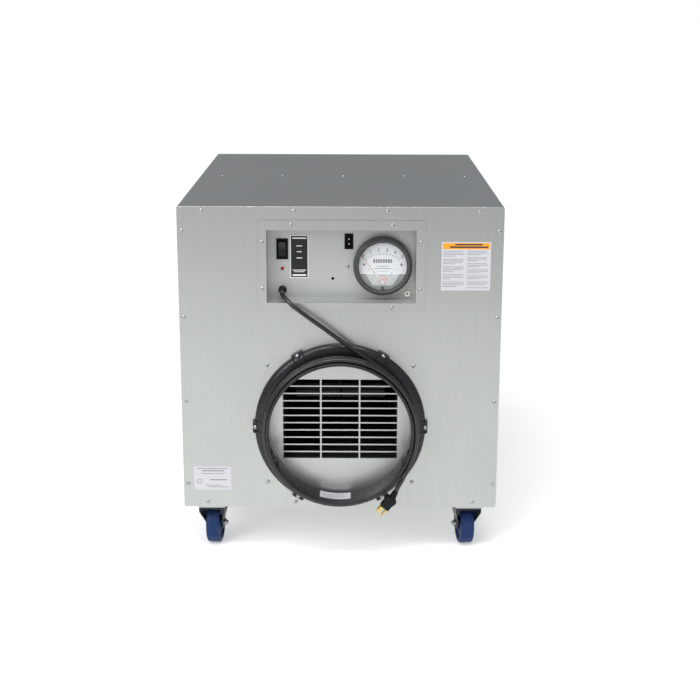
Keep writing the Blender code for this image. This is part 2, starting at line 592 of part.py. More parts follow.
def blower():
    half_width = GRILLE_HALF_WIDTH
    origin = (0, FRONT, 0)
    housing = plate("blower_housing", [scroll(0, 0)], 2 * half_width, BLACK_STEEL, origin, FACING_RIGHT)
    cavity = plate("scroll_cavity", [scroll(SHEET, 0.010)], 2 * (half_width - SHEET), at=origin,
                   facing=FACING_RIGHT)
    centre = spot(0, TOP - BLOWER_Z, BLOWER_BEHIND)
    inlets = cylinder("blower_inlets", centre - Vector((0.2, 0, 0)), (1, 0, 0), 0.090, 0.4, sides=28)
    combine(housing, cavity, "DIFFERENCE")
    combine(housing, inlets, "DIFFERENCE")
    impeller()
    motor_face, shaft_overhang, shaft_in_motor = 0.135, 0.118, 0.025
    cylinder("motor_shaft", centre - Vector((shaft_overhang, 0, 0)), (1, 0, 0), SHAFT_RADIUS,
             shaft_overhang + motor_face + shaft_in_motor, STEEL, sides=16)
    bore = SHAFT_RADIUS + 0.0006
    turned("motor_body", [(0, 0.120), (0.030, 0.120), (0.033, 0.111), (0.064, 0.109), (0.070, 0.100),
                          (0.070, 0.020), (0.064, 0.011), (0.033, 0.009), (0.030, 0), (bore, 0),
                          (bore, 0.030), (0, 0.030)],
           BLACK_STEEL, centre + Vector((motor_face, 0, 0)), FACING_RIGHT, steps=24)
    strap = turned("motor_bracket", [(0.0740, 0.070), (0.0740, 0.040), (0.0703, 0.040), (0.0703, 0.070)],
                   GALVANISED, centre + Vector((motor_face, 0, 0)), FACING_RIGHT, steps=32, ring=True)
    foot = half_width + GAP - motor_face
    arm = [(0.0730, 0.060), (0.0730, 0.045), (0.0980, 0.045), (0.0980, foot), (0.1040, foot), (0.1040, 0.060)]
    for degrees in (90, 210, 330):
        turn = Matrix.Translation(centre + Vector((motor_face, 0, 0)))
        turn = turn @ Matrix.Rotation(math.radians(degrees), 4, "X")
        leg = plate("bracket_leg", [arm], 0.016)
        leg.matrix_world = turn @ Matrix(((0, 1, 0, 0), (1, 0, 0, 0), (0, 0, -1, 0), (0, 0, 0, 1)))
        combine(strap, leg, "UNION")
    turned("run_capacitor", [(0, 0.085), (0.020, 0.085), (0.022, 0.083), (0.022, 0), (0, 0)], STEEL,
           (-0.220, FRONT + 0.300, FLOOR + GAP), steps=20)


# ---------------------------------------------------------------- filters and rear

def pleats(name, half_width, half_height, front, depth, folds, finish):
    """Pleated paper: a zigzag sheet that stands upright and fills its frame."""
    thickness = depth * 0.12
    line = []
    for fold in range(folds + 1):
        across = -half_width + 2 * half_width * fold / folds
        line.append((across, front if fold % 2 == 0 else front + depth - thickness))
    outline = line + [(across, y + thickness) for across, y in reversed(line)]
    plate(name, [outline], 2 * half_height, finish, (0, FRONT, FILTER_Z))


def filter_frame(name, size, wall, front, depth, finish):
    edge = rectangle(size / 2, -size / 2, size / 2)
    hole = rectangle(size / 2 - wall, wall - size / 2, size / 2 - wall)
    plate(name, [edge, hole], depth, finish, (0, FRONT + front + depth / 2, FILTER_Z), FACING_FRONT)


def bulkhead():
    """Filter wall across the cabinet: its flanges on top and at the sides take the screws."""
    side = HALF_WIDTH - 2 * (SHEET + GAP)
    top = TOP - SHEET - GAP
    front = FRONT + BULKHEAD
    wall = block("filter_bulkhead", (-side, side), (front, front + 0.020), (FLOOR + GAP, top), GALVANISED)
    behind = block("bulkhead_space", (SHEET - side, side - SHEET), (front + SHEET, front + 0.1),
                   (BOTTOM, top - SHEET))
    opening = block("bulkhead_opening", (-0.280, 0.280), (front - 0.1, front + 0.1),
                    (FILTER_Z - 0.280, FILTER_Z + 0.280))
    combine(wall, behind, "DIFFERENCE")
    combine(wall, opening, "DIFFERENCE")


def rear_frame():
    """Rear sheet with a sleeve for the prefilters, and a lip at the sleeve's inner end."""
    plane = FRONT + CABINET_DEPTH
    frame = plate("rear_frame", [rectangle(HALF_WIDTH, BOTTOM, TOP, corner=0.005)], SHEET, GALVANISED,
                  (0, plane - SHEET / 2, 0), FACING_FRONT)

    def centred(name, half, y):
        return block(name, (-half, half), y, (FILTER_Z - half, FILTER_Z + half))

    sleeve_start = FRONT + SLEEVE_START
    combine(frame, centred("sleeve", SLEEVE_INSIDE + SHEET, (sleeve_start, plane - SHEET / 2)), "UNION")
    combine(frame, centred("sleeve_space", SLEEVE_INSIDE, (sleeve_start + SHEET, plane + 0.1)), "DIFFERENCE")
    combine(frame, centred("sleeve_lip", 0.280, (sleeve_start - 0.1, plane)), "DIFFERENCE")


def filter_latches():
    """Four turn buttons on the rear frame, two at each side of the prefilter."""
    plane = FRONT + CABINET_DEPTH + GAP
    for side, side_name in ((-1, "left"), (1, "right")):
        for level, level_name in ((0.18, "upper"), (-0.18, "lower")):
            name = f"filter_latch_{level_name}_{side_name}"
            radius, reach = 0.009, 0.042
            arc = [(radius * math.cos(math.radians(a)), radius * math.sin(math.radians(a)))
                   for a in range(-90, 91, 30)]
            outline = [(x, y) for x, y in arc] + [(x - reach, y) for x, y in ((-a, -b) for a, b in arc)]
            outline = [(side * x, y) for x, y in outline]
            pivot = (side * 0.314, plane + 0.0015, FILTER_Z + level)
            latch = plate(name, [outline], 0.003, ZINC, pivot, FACING_FRONT)
            boss = cylinder("latch_boss", (pivot[0], plane + 0.001, pivot[2]), (0, 1, 0), 0.0065, 0.0080,
                            sides=6)
            grip_x = sorted((pivot[0] - side * reach, pivot[0] - side * (reach - 0.004)))
            grip = block("latch_grip", grip_x, (plane + 0.001, plane + REAR_REACH - GAP),
                         (pivot[2] - 0.0075, pivot[2] + 0.0075))
            combine(latch, boss, "UNION")
            combine(latch, grip, "UNION")


def filters():
    bulkhead()
    gasket_start = BULKHEAD + SHEET + GAP
    filter_frame("hepa_gasket", 0.606, 0.015, gasket_start, HEPA_START - GAP - gasket_start, BLACK_RUBBER)
    filter_frame("hepa_frame", HEPA_SIZE, 0.018, HEPA_START, HEPA_DEPTH, PARTICLE_BOARD)
    inside = HEPA_SIZE / 2 - 0.018 - 2 * GAP
    pleats("hepa_media", inside, inside, HEPA_START + 0.004, HEPA_DEPTH - 0.008, 26, FILTER_PAPER)
    start = SLEEVE_START + SHEET + GAP
    depth = 0.047
    filter_frame("prefilter_frame", PREFILTER_SIZE, 0.014, start, depth, WHITE_PLASTIC)
    inside = PREFILTER_SIZE / 2 - 0.014 - 2 * GAP
    pleats("prefilter_media", inside, inside, start + 0.001, depth - 0.002, 36, FILTER_PAPER)
    pad_start = FRONT + start + depth + GAP
    half = PREFILTER_SIZE / 2
    block("primary_filter", (-half, half), (pad_start, FRONT + CABINET_DEPTH - 0.0009),
          (FILTER_Z - half, FILTER_Z + half), FIBRE)
    rear_frame()
    filter_latches()


# ---------------------------------------------------------------- casters

def caster_fork(name, pivot):
    """Bent fork: a round-shouldered arch seen from the front, trimmed to its outline seen from the side."""
    crown, throat = BOTTOM - 0.0045, WHEEL_RADIUS * 2 + 0.0018
    leg_out, leg_in, foot = 0.0185, 0.0158, 0.026
    half = [(0.0215, crown), (0.0252, crown - 0.0012), (0.0270, crown - 0.0045), (0.0275, crown - 0.0110),
            (0.0270, crown - 0.0170), (leg_out, 0.052), (leg_out, foot),
            (leg_in, foot), (leg_in, 0.0530), (0.0245, crown - 0.0175), (0.0245, throat - 0.0020),
            (0.0225, throat)]
    arch = [*half, *[(-x, z) for x, z in reversed(half)]]
    fork = plate(name, [arch], 0.120, BLACK_STEEL, (0, 0, 0), FACING_FRONT, pivot)
    boss = 0.0135
    arc = [math.radians(angle) for angle in range(-30, -211, -30)]
    front = 0.016
    side = [(front, crown + 0.001), (front, crown - 0.016),
            *[(boss * math.cos(a) - TRAIL, boss * math.sin(a) + WHEEL_RADIUS) for a in arc],
            (-0.040, crown - 0.016), (-0.030, crown + 0.001)]
    trim = plate("fork_side", [side], 0.080, None, (0, 0, 0), FACING_RIGHT, pivot)
    combine(fork, trim, "INTERSECT")
    hole = cylinder("axle_hole", (-0.05, -TRAIL, WHEEL_RADIUS), (1, 0, 0), 0.0065, 0.1, sides=16,
                    parent=pivot)
    combine(fork, hole, "DIFFERENCE")


def casters():
    under = BOTTOM - GAP - 0.003
    for name, (side, behind, angle) in CASTERS.items():
        x, y = side * CASTER_X, FRONT + behind
        mounting = block("caster_plate_" + name, (x - 0.0282, x + 0.0282), (y - 0.030, y + 0.030),
                         (under, BOTTOM - GAP), ZINC)
        race = cylinder("swivel_race", (x, y, under - 0.0009), (0, 0, 1), 0.024, 0.0019)
        combine(mounting, race, "UNION")
        pivot = bpy.data.objects.new("swivel_" + name, None)
        PARTS.objects.link(pivot)
        pivot.location = (x, y, 0)
        pivot.rotation_euler.z = math.radians(angle)
        caster_fork("caster_fork_" + name, pivot)
        hub = (0, -TRAIL, WHEEL_RADIUS)
        half, tread, shoulder = WHEEL_HALF_WIDTH, TREAD_HALF_WIDTH, WHEEL_RADIUS - 0.0025
        turned("caster_wheel_" + name, [(shoulder, half), (WHEEL_RADIUS, tread), (WHEEL_RADIUS, -tread),
                                        (shoulder, -half), (0.0068, -half), (0.0068, half)],
               BLUE_TYRE, hub, FACING_RIGHT, steps=32, ring=True, parent=pivot)
        nut_inboard = FACING_RIGHT if side * math.cos(math.radians(angle)) < 0 else FACING_LEFT
        turned("caster_axle_" + name, [(0, 0.0275), (0.0042, 0.0275), (0.0042, 0.0240), (0.0070, 0.0240),
                                       (0.0070, 0.0188), (0.0060, 0.0188), (0.0060, -0.0188),
                                       (0.0078, -0.0188), (0.0078, -0.0206), (0, -0.0206)],
               ZINC, hub, nut_inboard, steps=12, parent=pivot)


# ---------------------------------------------------------------- power cord

def around_collar(clockwise, radius, front):
    """Point at an angle clockwise from the collar's top, that far in front of the front panel."""
    return Vector((radius * math.sin(clockwise), FRONT - front, COLLAR_Z + radius * math.cos(clockwise)))


def power_cord():
    lead = [spot(x, below, behind) for x, behind, below in CORD_ROUTE]
    tube("power_cord_lead", smooth_line(lead, 0.015), CORD_RADIUS, BLACK_RUBBER)
    inner, outer = COIL_RADIUS - CORD_RADIUS, COIL_RADIUS + CORD_RADIUS
    start, end = COIL_SPAN
    turned("power_cord_coil", [(outer - 0.0015, end), (outer, end - 0.002), (outer, start + 0.002),
                               (outer - 0.0015, start), (inner, start), (inner, end)],
           BLACK_RUBBER, (0, FRONT, COLLAR_Z), FACING_FRONT, steps=COLLAR_STEPS, ring=True)
    along = Vector((math.cos(TAIL_LEAVES), 0, -math.sin(TAIL_LEAVES)))
    wrapped = [around_collar(angle, TAIL_RADIUS, TAIL_FRONT)
               for angle in np.linspace(TAIL_START, TAIL_LEAVES, 4)]
    end_of_tail = wrapped[-1] + along * TAIL_LENGTH
    end_of_tail.y = FRONT - PLUG_FRONT
    middle = end_of_tail + Vector((math.sin(TAIL_TILT), 0, math.cos(TAIL_TILT))) * TAIL_LENGTH / 2
    tube("power_cord_tail", smooth_line([*wrapped, middle, end_of_tail], 0.012), CORD_RADIUS, BLACK_RUBBER)
    plug(end_of_tail)


def empty(name, at, tilt):
    holder = bpy.data.objects.new(name, None)
    PARTS.objects.link(holder)
    holder.location = at
    holder.rotation_euler = (0, tilt, 0)
    return holder


def plug(at):
    """Moulded plug with its pins. Its relief follows the cord, and local Z runs back along each piece."""
    relief_length = 0.018
    relief = empty("relief_holder", at, TAIL_TILT)
    moulding = turned("plug", [(0, -GAP), (0.0054, -GAP), (0.0080, -relief_length - 0.003),
                               (0, -relief_length - 0.003)], BLACK_PLASTIC, steps=16, parent=relief)
    back = at - Vector((math.sin(TAIL_TILT), 0, math.cos(TAIL_TILT))) * relief_length
    holder = empty("plug_holder", back, PLUG_TILT)
    face = -0.027
    half = [(0.0103, face), (0.0103, face + 0.014), (0.0124, face + 0.021), (0.0118, 0)]
    outline = [*half, *[(-x, z) for x, z in reversed(half)]]
    grip = plate("plug_grip", [outline], 0.0165, None, facing=FACING_FRONT, parent=holder)
    combine(moulding, grip, "UNION")
    pins = bmesh.new()
    pin_length, blade_length, root = 0.0175, 0.0160, 0.003
    add_cylinder(pins, (0.0066, 0, face + root), (0, 0, -1), 0.0024, root + pin_length, 12)
    for level in (-0.0063, 0.0063):
        add_cube(pins, (-0.0084, -0.0020), (level - 0.00075, level + 0.00075),
                 (face - blade_length, face + root))
    combine(moulding, from_bmesh("plug_pins", pins, None, parent=holder), "UNION")


def main():
    wrapper()
    base_pan()
    front_panel()
    control_station()
    collar()
    blower()
    filters()
    casters()
    power_cord()
    bpy.context.view_layer.update()


main()
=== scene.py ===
"""Looks of the portable air scrubber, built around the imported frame. Metres, +Z up, front faces -Y."""

import json
import math
import random

import bmesh
import bpy
from mathutils import Matrix, Vector, noise


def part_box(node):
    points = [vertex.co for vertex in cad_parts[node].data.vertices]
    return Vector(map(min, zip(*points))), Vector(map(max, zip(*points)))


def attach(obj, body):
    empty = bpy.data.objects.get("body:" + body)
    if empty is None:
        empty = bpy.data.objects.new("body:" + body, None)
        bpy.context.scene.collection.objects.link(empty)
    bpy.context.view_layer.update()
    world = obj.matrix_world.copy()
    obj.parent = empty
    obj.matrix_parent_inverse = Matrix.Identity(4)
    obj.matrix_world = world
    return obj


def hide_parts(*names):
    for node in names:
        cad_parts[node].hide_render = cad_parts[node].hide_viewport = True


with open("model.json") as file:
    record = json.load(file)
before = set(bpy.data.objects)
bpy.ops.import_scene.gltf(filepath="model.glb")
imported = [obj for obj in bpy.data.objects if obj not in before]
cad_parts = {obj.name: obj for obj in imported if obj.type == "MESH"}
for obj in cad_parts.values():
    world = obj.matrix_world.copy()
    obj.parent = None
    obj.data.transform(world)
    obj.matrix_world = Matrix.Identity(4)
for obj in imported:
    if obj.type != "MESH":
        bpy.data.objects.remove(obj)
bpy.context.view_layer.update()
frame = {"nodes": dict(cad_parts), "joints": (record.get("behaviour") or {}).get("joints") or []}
NODES = frame["nodes"]
SCENE = bpy.context.scene

# Places, read from the frame.
GAP = 0.0003
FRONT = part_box("front_panel")[0].y
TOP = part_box("front_panel")[1].z
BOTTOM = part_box("front_panel")[0].z
HALF_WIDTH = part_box("front_panel")[1].x
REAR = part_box("rear_frame")[1].y
TRIM_LOW, TRIM_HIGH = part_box("control_box")
RECESS_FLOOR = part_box("gauge_bezel")[1].y + GAP
GAUGE = (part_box("gauge_bezel")[0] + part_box("gauge_bezel")[1]) / 2
LABEL_LOW, LABEL_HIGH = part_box("speed_label_plate")
COLLAR_Z = (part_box("exhaust_collar")[0].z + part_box("exhaust_collar")[1].z) / 2
COLLAR_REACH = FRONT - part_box("exhaust_collar")[0].y
COLLAR_BORE = 0.1458  # radius of the collar's inner wall
EAR_RING = 0.1766  # radius of the circle of the collar's screws
EAR_SEAT = 0.0106  # how far the ears' screw seats stand out of the front panel
BULKHEAD = FRONT + 0.469  # the sheet that the top and side screws hold
INK = 0.00006  # thickness of printed bars and figures
STICKER = 0.00016

# The camera, from the middle of the front panel's top edge.
CAMERA_ASIDE, CAMERA_BACK, CAMERA_ABOVE = 0.020, 2.766, 0.429
CAMERA_DOWN, CAMERA_ROLL = math.radians(14.7), math.radians(0.2)
LENS_MM, SENSOR_MM = 71.4, 36

# The cord. Its route repeats the route in the part's source.
CORD_RADIUS = 0.0045
CORD_ROUTE = [  # x, behind the front panel, below the cabinet's top
    (-0.1200, 0.0230, 0.1795),
    (-0.1197, 0.0120, 0.1798),
    (-0.1165, -0.0010, 0.1832),
    (-0.1060, -0.0125, 0.1920),
    (-0.0896, -0.0190, 0.2050),
    (-0.0599, -0.0215, 0.2268),
    (-0.0340, -0.0220, 0.2452),
    (-0.0082, -0.0220, 0.2645),
    (0.0160, -0.0220, 0.2826),
    (0.0385, -0.0220, 0.2994),
]
COIL_RADIUS = 0.1548
COIL_STARTS = math.radians(36.5)  # clockwise from the collar's top
COIL_TURNS = 4
TAIL_LEAVES = math.radians(117.5)
COIL_FRONT = 0.0225
TAIL_FRONT = 0.0618
TAIL_RADIUS = 0.158
TAIL_LENGTH = 0.0515
TAIL_TILT = TAIL_LEAVES - math.radians(90)
PLUG_FRONT = 0.0660
PLUG_TILT = math.radians(38)
RELIEF_LENGTH = 0.018

CORNERS = ("front_left", "front_right", "rear_left", "rear_right")


# ---------------- procedural materials

class Shading:
    """A shader tree, with short ways to add nodes to it."""

    def __init__(self, tree):
        self.tree = tree

    def join(self, socket, value):
        """Links an output to the socket, or sets the socket to a value."""
        if isinstance(value, bpy.types.NodeSocket):
            self.tree.links.new(value, socket)
        else:
            socket.default_value = value

    def node(self, kind, settings=None, **inputs):
        made = self.tree.nodes.new(kind)
        for name, value in (settings or {}).items():
            setattr(made, name, value)
        for name, value in inputs.items():
            self.join(made.inputs[name.replace("_", " ")], value)
        return made

    def ranged(self, value, low, high, start=0.3, end=0.7):
        """The value's middle stretch, mapped to run from low to high."""
        return self.node("ShaderNodeMapRange", Value=value, From_Min=start, From_Max=end,
                         To_Min=low, To_Max=high).outputs[0]

    def total(self, first, second, operation="ADD"):
        node = self.node("ShaderNodeMath", {"operation": operation})
        for socket, value in zip(node.inputs, (first, second)):
            self.join(socket, value)
        return node.outputs[0]

    def mixed(self, share, first, second):
        """A colour between two colours, or between two colour outputs."""
        node = self.node("ShaderNodeMix", {"data_type": "RGBA"})
        for number, value in ((0, share), (6, first), (7, second)):
            self.join(node.inputs[number], (*value, 1) if isinstance(value, tuple) else value)
        return node.outputs[2]


class Finish(Shading):
    """One procedural material: a Principled shader and the nodes that feed it."""

    def __init__(self, name, color, roughness, metallic=0.0, **sockets):
        self.material = bpy.data.materials.new(name)
        self.material.use_nodes = True
        super().__init__(self.material.node_tree)
        self.shader = self.tree.nodes["Principled BSDF"]
        self.color = color
        sockets.update(Base_Color=(*color, 1), Roughness=roughness, Metallic=metallic)
        for socket, value in sockets.items():
            self.feed(socket.replace("_", " "), value)
        self.place = self.node("ShaderNodeTexCoord").outputs["Object"]

    def stretched(self, stretch):
        return self.node("ShaderNodeMapping", Vector=self.place, Scale=stretch).outputs[0]

    def noise(self, scale, detail=3.0, stretch=(1, 1, 1)):
        where = self.stretched(stretch)
        return self.node("ShaderNodeTexNoise", Vector=where, Scale=scale, Detail=detail).outputs[0]

    def cells(self, scale, stretch=(1, 1, 1)):
        """A random value for each grain of a crystalline surface."""
        cell = self.node("ShaderNodeTexVoronoi", Vector=self.stretched(stretch), Scale=scale)
        return self.node("ShaderNodeSeparateColor", Color=cell.outputs["Color"]).outputs[0]

    def feed(self, socket, value):
        self.join(self.shader.inputs[socket], value)

    def tint(self, share, first, second):
        """Base colour between two colours."""
        self.feed("Base Color", self.mixed(share, first, second))

    def shade(self, share, dark):
        """The finish's own colour, darkened towards a share of itself."""
        self.tint(share, self.color, tuple(channel * dark for channel in self.color))

    def rough(self, *limits):
        """Roughness that runs between limits, as ranged takes them."""
        self.feed("Roughness", self.ranged(*limits))

    def bump(self, height, distance):
        made = self.node("ShaderNodeBump", Height=height, Distance=distance)
        normal = self.shader.inputs["Normal"]
        if normal.is_linked:
            self.join(made.inputs["Normal"], normal.links[0].from_socket)
        self.join(normal, made.outputs[0])


def galvanised(name, streaks, color=(0.445, 0.462, 0.447), dulled=None):
    """Zinc-coated sheet: fine crystal grains, rolling streaks, dull patches and a slight waviness.

    Sheet that turns back behind the front panel may be duller there.
    """
    finish = Finish(name, color, 0.3, 1.0)
    if dulled:
        behind = finish.node("ShaderNodeSeparateXYZ", Vector=finish.place).outputs[1]
        finish.feed("Metallic", finish.ranged(behind, 1.0, dulled, FRONT, FRONT + 0.004))
    grains = finish.cells(260)
    lines = finish.noise(1.0, 2.0, streaks)
    patches = finish.noise(3.2, 4.0)
    value = finish.total(finish.ranged(grains, -0.05, 0.05, 0, 1), finish.ranged(lines, -0.16, 0.16))
    value = finish.total(value, finish.ranged(patches, 0.1, 0.5))
    finish.shade(value, 0.86)
    rough = finish.total(finish.ranged(patches, 0.31, 0.39), finish.ranged(grains, -0.02, 0.02, 0, 1))
    finish.feed("Roughness", rough)
    finish.bump(finish.noise(2.3, 1.0), 0.0016)
    finish.bump(finish.noise(30.0, 1.0), 0.00002)
    return finish.material


def bright_zinc():
    """Plated fasteners and brackets, with a faint iridescent mottling."""
    finish = Finish("bright_zinc", (0.45, 0.47, 0.50), 0.3, 1.0)
    mottle = finish.noise(420.0, 3.0)
    finish.tint(mottle, (0.33, 0.37, 0.42), (0.46, 0.46, 0.45))
    finish.rough(mottle, 0.24, 0.40)
    finish.bump(mottle, 0.00004)
    return finish.material


def machined_steel():
    finish = Finish("machined_steel", (0.50, 0.51, 0.52), 0.3, 1.0, Anisotropic=0.5)
    rings = finish.noise(1.0, 2.0, (2600, 60, 60))
    finish.rough(rings, 0.22, 0.42)
    finish.bump(rings, 0.00002)
    return finish.material


def black_enamel():
    """Stove enamel over steel: slightly uneven, with rubbed spots."""
    finish = Finish("black_enamel", (0.014, 0.014, 0.016), 0.3, 0.0, Specular_IOR_Level=0.3)
    peel = finish.noise(340.0, 2.0)
    rubbed = finish.noise(38.0, 5.0)
    worn = finish.ranged(rubbed, 0, 0.5, 0.52, 0.75)
    finish.tint(worn, finish.color, (0.055, 0.055, 0.057))
    finish.rough(rubbed, 0.24, 0.46)
    finish.bump(peel, 0.00006)
    return finish.material


def gloss_moulding():
    """Injection-moulded gloss black, with handling scuffs and faint flow lines."""
    finish = Finish("gloss_black_moulding", (0.010, 0.0105, 0.012), 0.2, 0.0, Specular_IOR_Level=0.33)
    scuffs = finish.noise(1.0, 4.0, (26, 26, 190))
    dust = finish.noise(520.0, 3.0)
    dusty = finish.ranged(dust, 0, 0.35, 0.60, 0.80)
    finish.tint(dusty, finish.color, (0.05, 0.052, 0.055))
    finish.rough(scuffs, 0.16, 0.30)
    finish.bump(finish.noise(95.0, 2.0), 0.00005)
    return finish.material


def textured_black(name, grain, depth, roughness, color=(0.009, 0.0093, 0.010), gloss=0.14):
    """Moulded black with a spark-eroded grain, for switches, plug and gauge case."""
    finish = Finish(name, color, roughness, 0.0, Specular_IOR_Level=gloss)
    pits = finish.noise(grain, 2.0)
    finish.rough(pits, roughness - 0.08, roughness + 0.10)
    finish.shade(finish.ranged(pits, 0, 1), 0.7)
    finish.bump(pits, depth)
    return finish.material


def vinyl_jacket():
    """Cord jacket: satin vinyl with fine drawn lines and a little bloom."""
    finish = Finish("vinyl_jacket", (0.009, 0.0092, 0.010), 0.2, 0.0, Specular_IOR_Level=0.45)
    bloom = finish.noise(60.0, 4.0)
    pale = finish.ranged(bloom, 0, 0.3, 0.5, 0.8)
    finish.tint(pale, finish.color, (0.030, 0.031, 0.033))
    finish.rough(bloom, 0.15, 0.28)
    finish.bump(finish.noise(900.0, 2.0), 0.00003)
    return finish.material


def blue_urethane():
    """Cast blue tread, dulled and dusted where it rolls."""
    finish = Finish("blue_urethane", (0.010, 0.028, 0.098), 0.38, 0.0, Specular_IOR_Level=0.12)
    dust = finish.noise(70.0, 6.0)
    fine = finish.noise(800.0, 2.0)
    dusty = finish.ranged(dust, 0, 0.6, 0.45, 0.75)
    finish.tint(dusty, finish.color, (0.030, 0.048, 0.100))
    finish.rough(dust, 0.32, 0.6)
    finish.bump(fine, 0.00005)
    return finish.material


def cast_brass():
    finish = Finish("brass", (0.60, 0.46, 0.14), 0.25, 1.0)
    tarnish = finish.noise(300.0, 4.0)
    finish.tint(tarnish, (0.66, 0.52, 0.17), (0.46, 0.33, 0.09))
    finish.rough(tarnish, 0.18, 0.36)
    return finish.material


def printed(name, color, roughness, speck=0.9):
    """Ink or printed stock, slightly uneven."""
    finish = Finish(name, color, roughness)
    grain = finish.noise(700.0, 3.0)
    finish.shade(finish.ranged(grain, 0, 1), speck)
    finish.rough(grain, roughness - 0.06, roughness + 0.08)
    finish.bump(grain, 0.00001)
    return finish.material


def clear_acrylic():
    """Thin clear cover: mostly see-through, with the gloss of its surface and fine wipe marks."""
    finish = Finish("clear_acrylic", (0.92, 0.94, 0.95), 0.04, 0.0, Alpha=0.10, IOR=1.49)
    finish.rough(finish.noise(24.0, 5.0), 0.02, 0.09)
    return finish.material


def red_lens():
    finish = Finish("red_lens", (0.30, 0.006, 0.004), 0.2, 0.0, Specular_IOR_Level=0.3)
    finish.shade(finish.ranged(finish.cells(900.0), 0, 1, 0, 1), 0.75)
    # The emission is a faint painted glow: the lamp itself is not lit.
    finish.feed("Emission Color", (0.6, 0.01, 0.005, 1))
    finish.feed("Emission Strength", 0.05)
    return finish.material


def needle_red():
    """Painted needle. Its root runs behind the dial's cover, so it fades to the dial's colour there."""
    finish = Finish("needle_red", (0.52, 0.05, 0.03), 0.5)
    pivot = next(joint["pos_m"] for joint in frame["joints"] if joint["child"] == "pointer")
    reach = finish.node("ShaderNodeVectorMath", {"operation": "DISTANCE"})
    for socket, value in zip(reach.inputs, (finish.place, pivot)):
        finish.join(socket, value)
    shown = finish.ranged(reach.outputs["Value"], 0, 1, 0.020, 0.030)
    finish.tint(shown, (0.58, 0.60, 0.61), finish.color)
    finish.bump(finish.noise(900.0, 2.0), 0.00001)
    return finish.material


def pleated_paper():
    finish = Finish("filter_paper", (0.80, 0.79, 0.74), 0.9)
    felt = finish.noise(380.0, 5.0)
    finish.shade(finish.ranged(felt, 0, 1), 0.84)
    finish.bump(felt, 0.0003)
    return finish.material


def filter_fibre():
    """Polyester mat: a tangle of long fibres with thin and dense spots."""
    finish = Finish("filter_fibre", (0.80, 0.83, 0.86), 0.95, Sheen_Weight=0.35, Sheen_Roughness=0.5)
    across = finish.noise(1.0, 4.0, (900, 900, 70))
    along = finish.noise(1.0, 4.0, (70, 900, 900))
    clumps = finish.noise(55.0, 3.0)
    tangle = finish.total(across, along)
    shade = finish.total(finish.ranged(tangle, 0.0, 0.6, 0.75, 1.25), finish.ranged(clumps, 0, 0.4))
    finish.tint(shade, finish.color, (0.50, 0.57, 0.65))
    finish.bump(clumps, 0.0015)
    finish.bump(tangle, 0.0008)
    return finish.material


def particle_board():
    finish = Finish("particle_board", (0.52, 0.38, 0.23), 0.8)
    chips = finish.cells(420.0, (1, 1, 0.4))
    finish.tint(chips, (0.60, 0.46, 0.29), (0.38, 0.26, 0.15))
    finish.bump(chips, 0.0002)
    return finish.material


SHEET_FRONT = galvanised("galvanised_front", (420, 420, 5))
SHEET_TOP = galvanised("galvanised_wrapper", (4, 420, 4), (0.53, 0.56, 0.57))
SHEET_INNER = galvanised("galvanised_inner", (300, 6, 300))
SHEET_BOX = galvanised("galvanised_box", (420, 420, 5), dulled=0.45)
ZINC = bright_zinc()
STEEL = machined_steel()
ENAMEL = black_enamel()
GLOSS_BLACK = gloss_moulding()
SWITCH_BLACK = textured_black("switch_black", 1500.0, 0.00003, 0.34, (0.006, 0.0062, 0.0066), 0.06)
LABEL_BLACK = textured_black("label_black", 1500.0, 0.00001, 0.34, (0.022, 0.022, 0.022), 0.2)
PLUG_BLACK = textured_black("plug_black", 900.0, 0.00006, 0.42)
RUBBER = textured_black("soft_rubber", 500.0, 0.00008, 0.5)
JACKET = vinyl_jacket()
BLUE = blue_urethane()
BRASS = cast_brass()
LENS_RED_WITH_PAINTED_GLOW = red_lens()
NYLON = printed("white_nylon", (0.80, 0.78, 0.72), 0.38)
CARD = printed("prefilter_card", (0.80, 0.78, 0.72), 0.85, 0.8)
GAUGE_GREY = textured_black("gauge_grey", 1200.0, 0.00003, 0.34, (0.066, 0.070, 0.066), 0.25)
DIAL_WHITE = printed("dial_white", (0.66, 0.68, 0.71), 0.5, 0.95)
DIAL_GREY = printed("dial_grey", (0.46, 0.48, 0.48), 0.5)
DIAL_SHADE = printed("dial_shade", (0.10, 0.11, 0.11), 0.5)
INK_BLACK = printed("ink_black", (0.02, 0.02, 0.022), 0.5)
# Grey ink for print; the trim's edge line uses it as a painted shadow.
GREY_INK_AND_PAINTED_SHADOW = printed("grey_ink_and_painted_shadow", (0.22, 0.22, 0.23), 0.6)
# White ink for print; the strip along the dial's lower edge uses it as a painted highlight.
WHITE_INK_AND_PAINTED_HIGHLIGHT = printed("white_ink_and_painted_highlight", (0.78, 0.79, 0.80), 0.5)
INK_RED = printed("ink_red", (0.62, 0.07, 0.035), 0.5)
STICKER_WHITE = printed("sticker_white", (0.49, 0.50, 0.53), 0.4, 0.96)
STICKER_ORANGE = printed("sticker_orange", (0.78, 0.30, 0.015), 0.35)
NEEDLE = needle_red()
ACRYLIC = clear_acrylic()
PAPER = pleated_paper()
FIBRE = filter_fibre()
BOARD = particle_board()


# ---------------- mesh helpers

def facing(x, y, z):
    """Places a drawing on the front: its X is +X, its Y is up and its Z comes towards the viewer."""
    return Matrix.Translation((x, y, z)) @ Matrix.Rotation(math.radians(90), 4, "X")


def along(start, axis):
    """Places a drawing so that its Z runs along an axis from a point."""
    return Matrix.Translation(start) @ Vector(axis).to_track_quat("Z", "Y").to_matrix().to_4x4()


def arc(centre, radius, start, end, steps):
    """Points on an arc, with its angles in degrees."""
    angles = [math.radians(start + (end - start) * step / steps) for step in range(steps + 1)]
    return [(centre[0] + radius * math.cos(a), centre[1] + radius * math.sin(a)) for a in angles]


def rounded(half_width, half_height, corner, steps=5):
    points = []
    for number, (side, level) in enumerate(((1, 1), (-1, 1), (-1, -1), (1, -1))):
        centre = (side * (half_width - corner), level * (half_height - corner))
        points += arc(centre, corner, 90 * number, 90 * number + 90, steps)
    return points


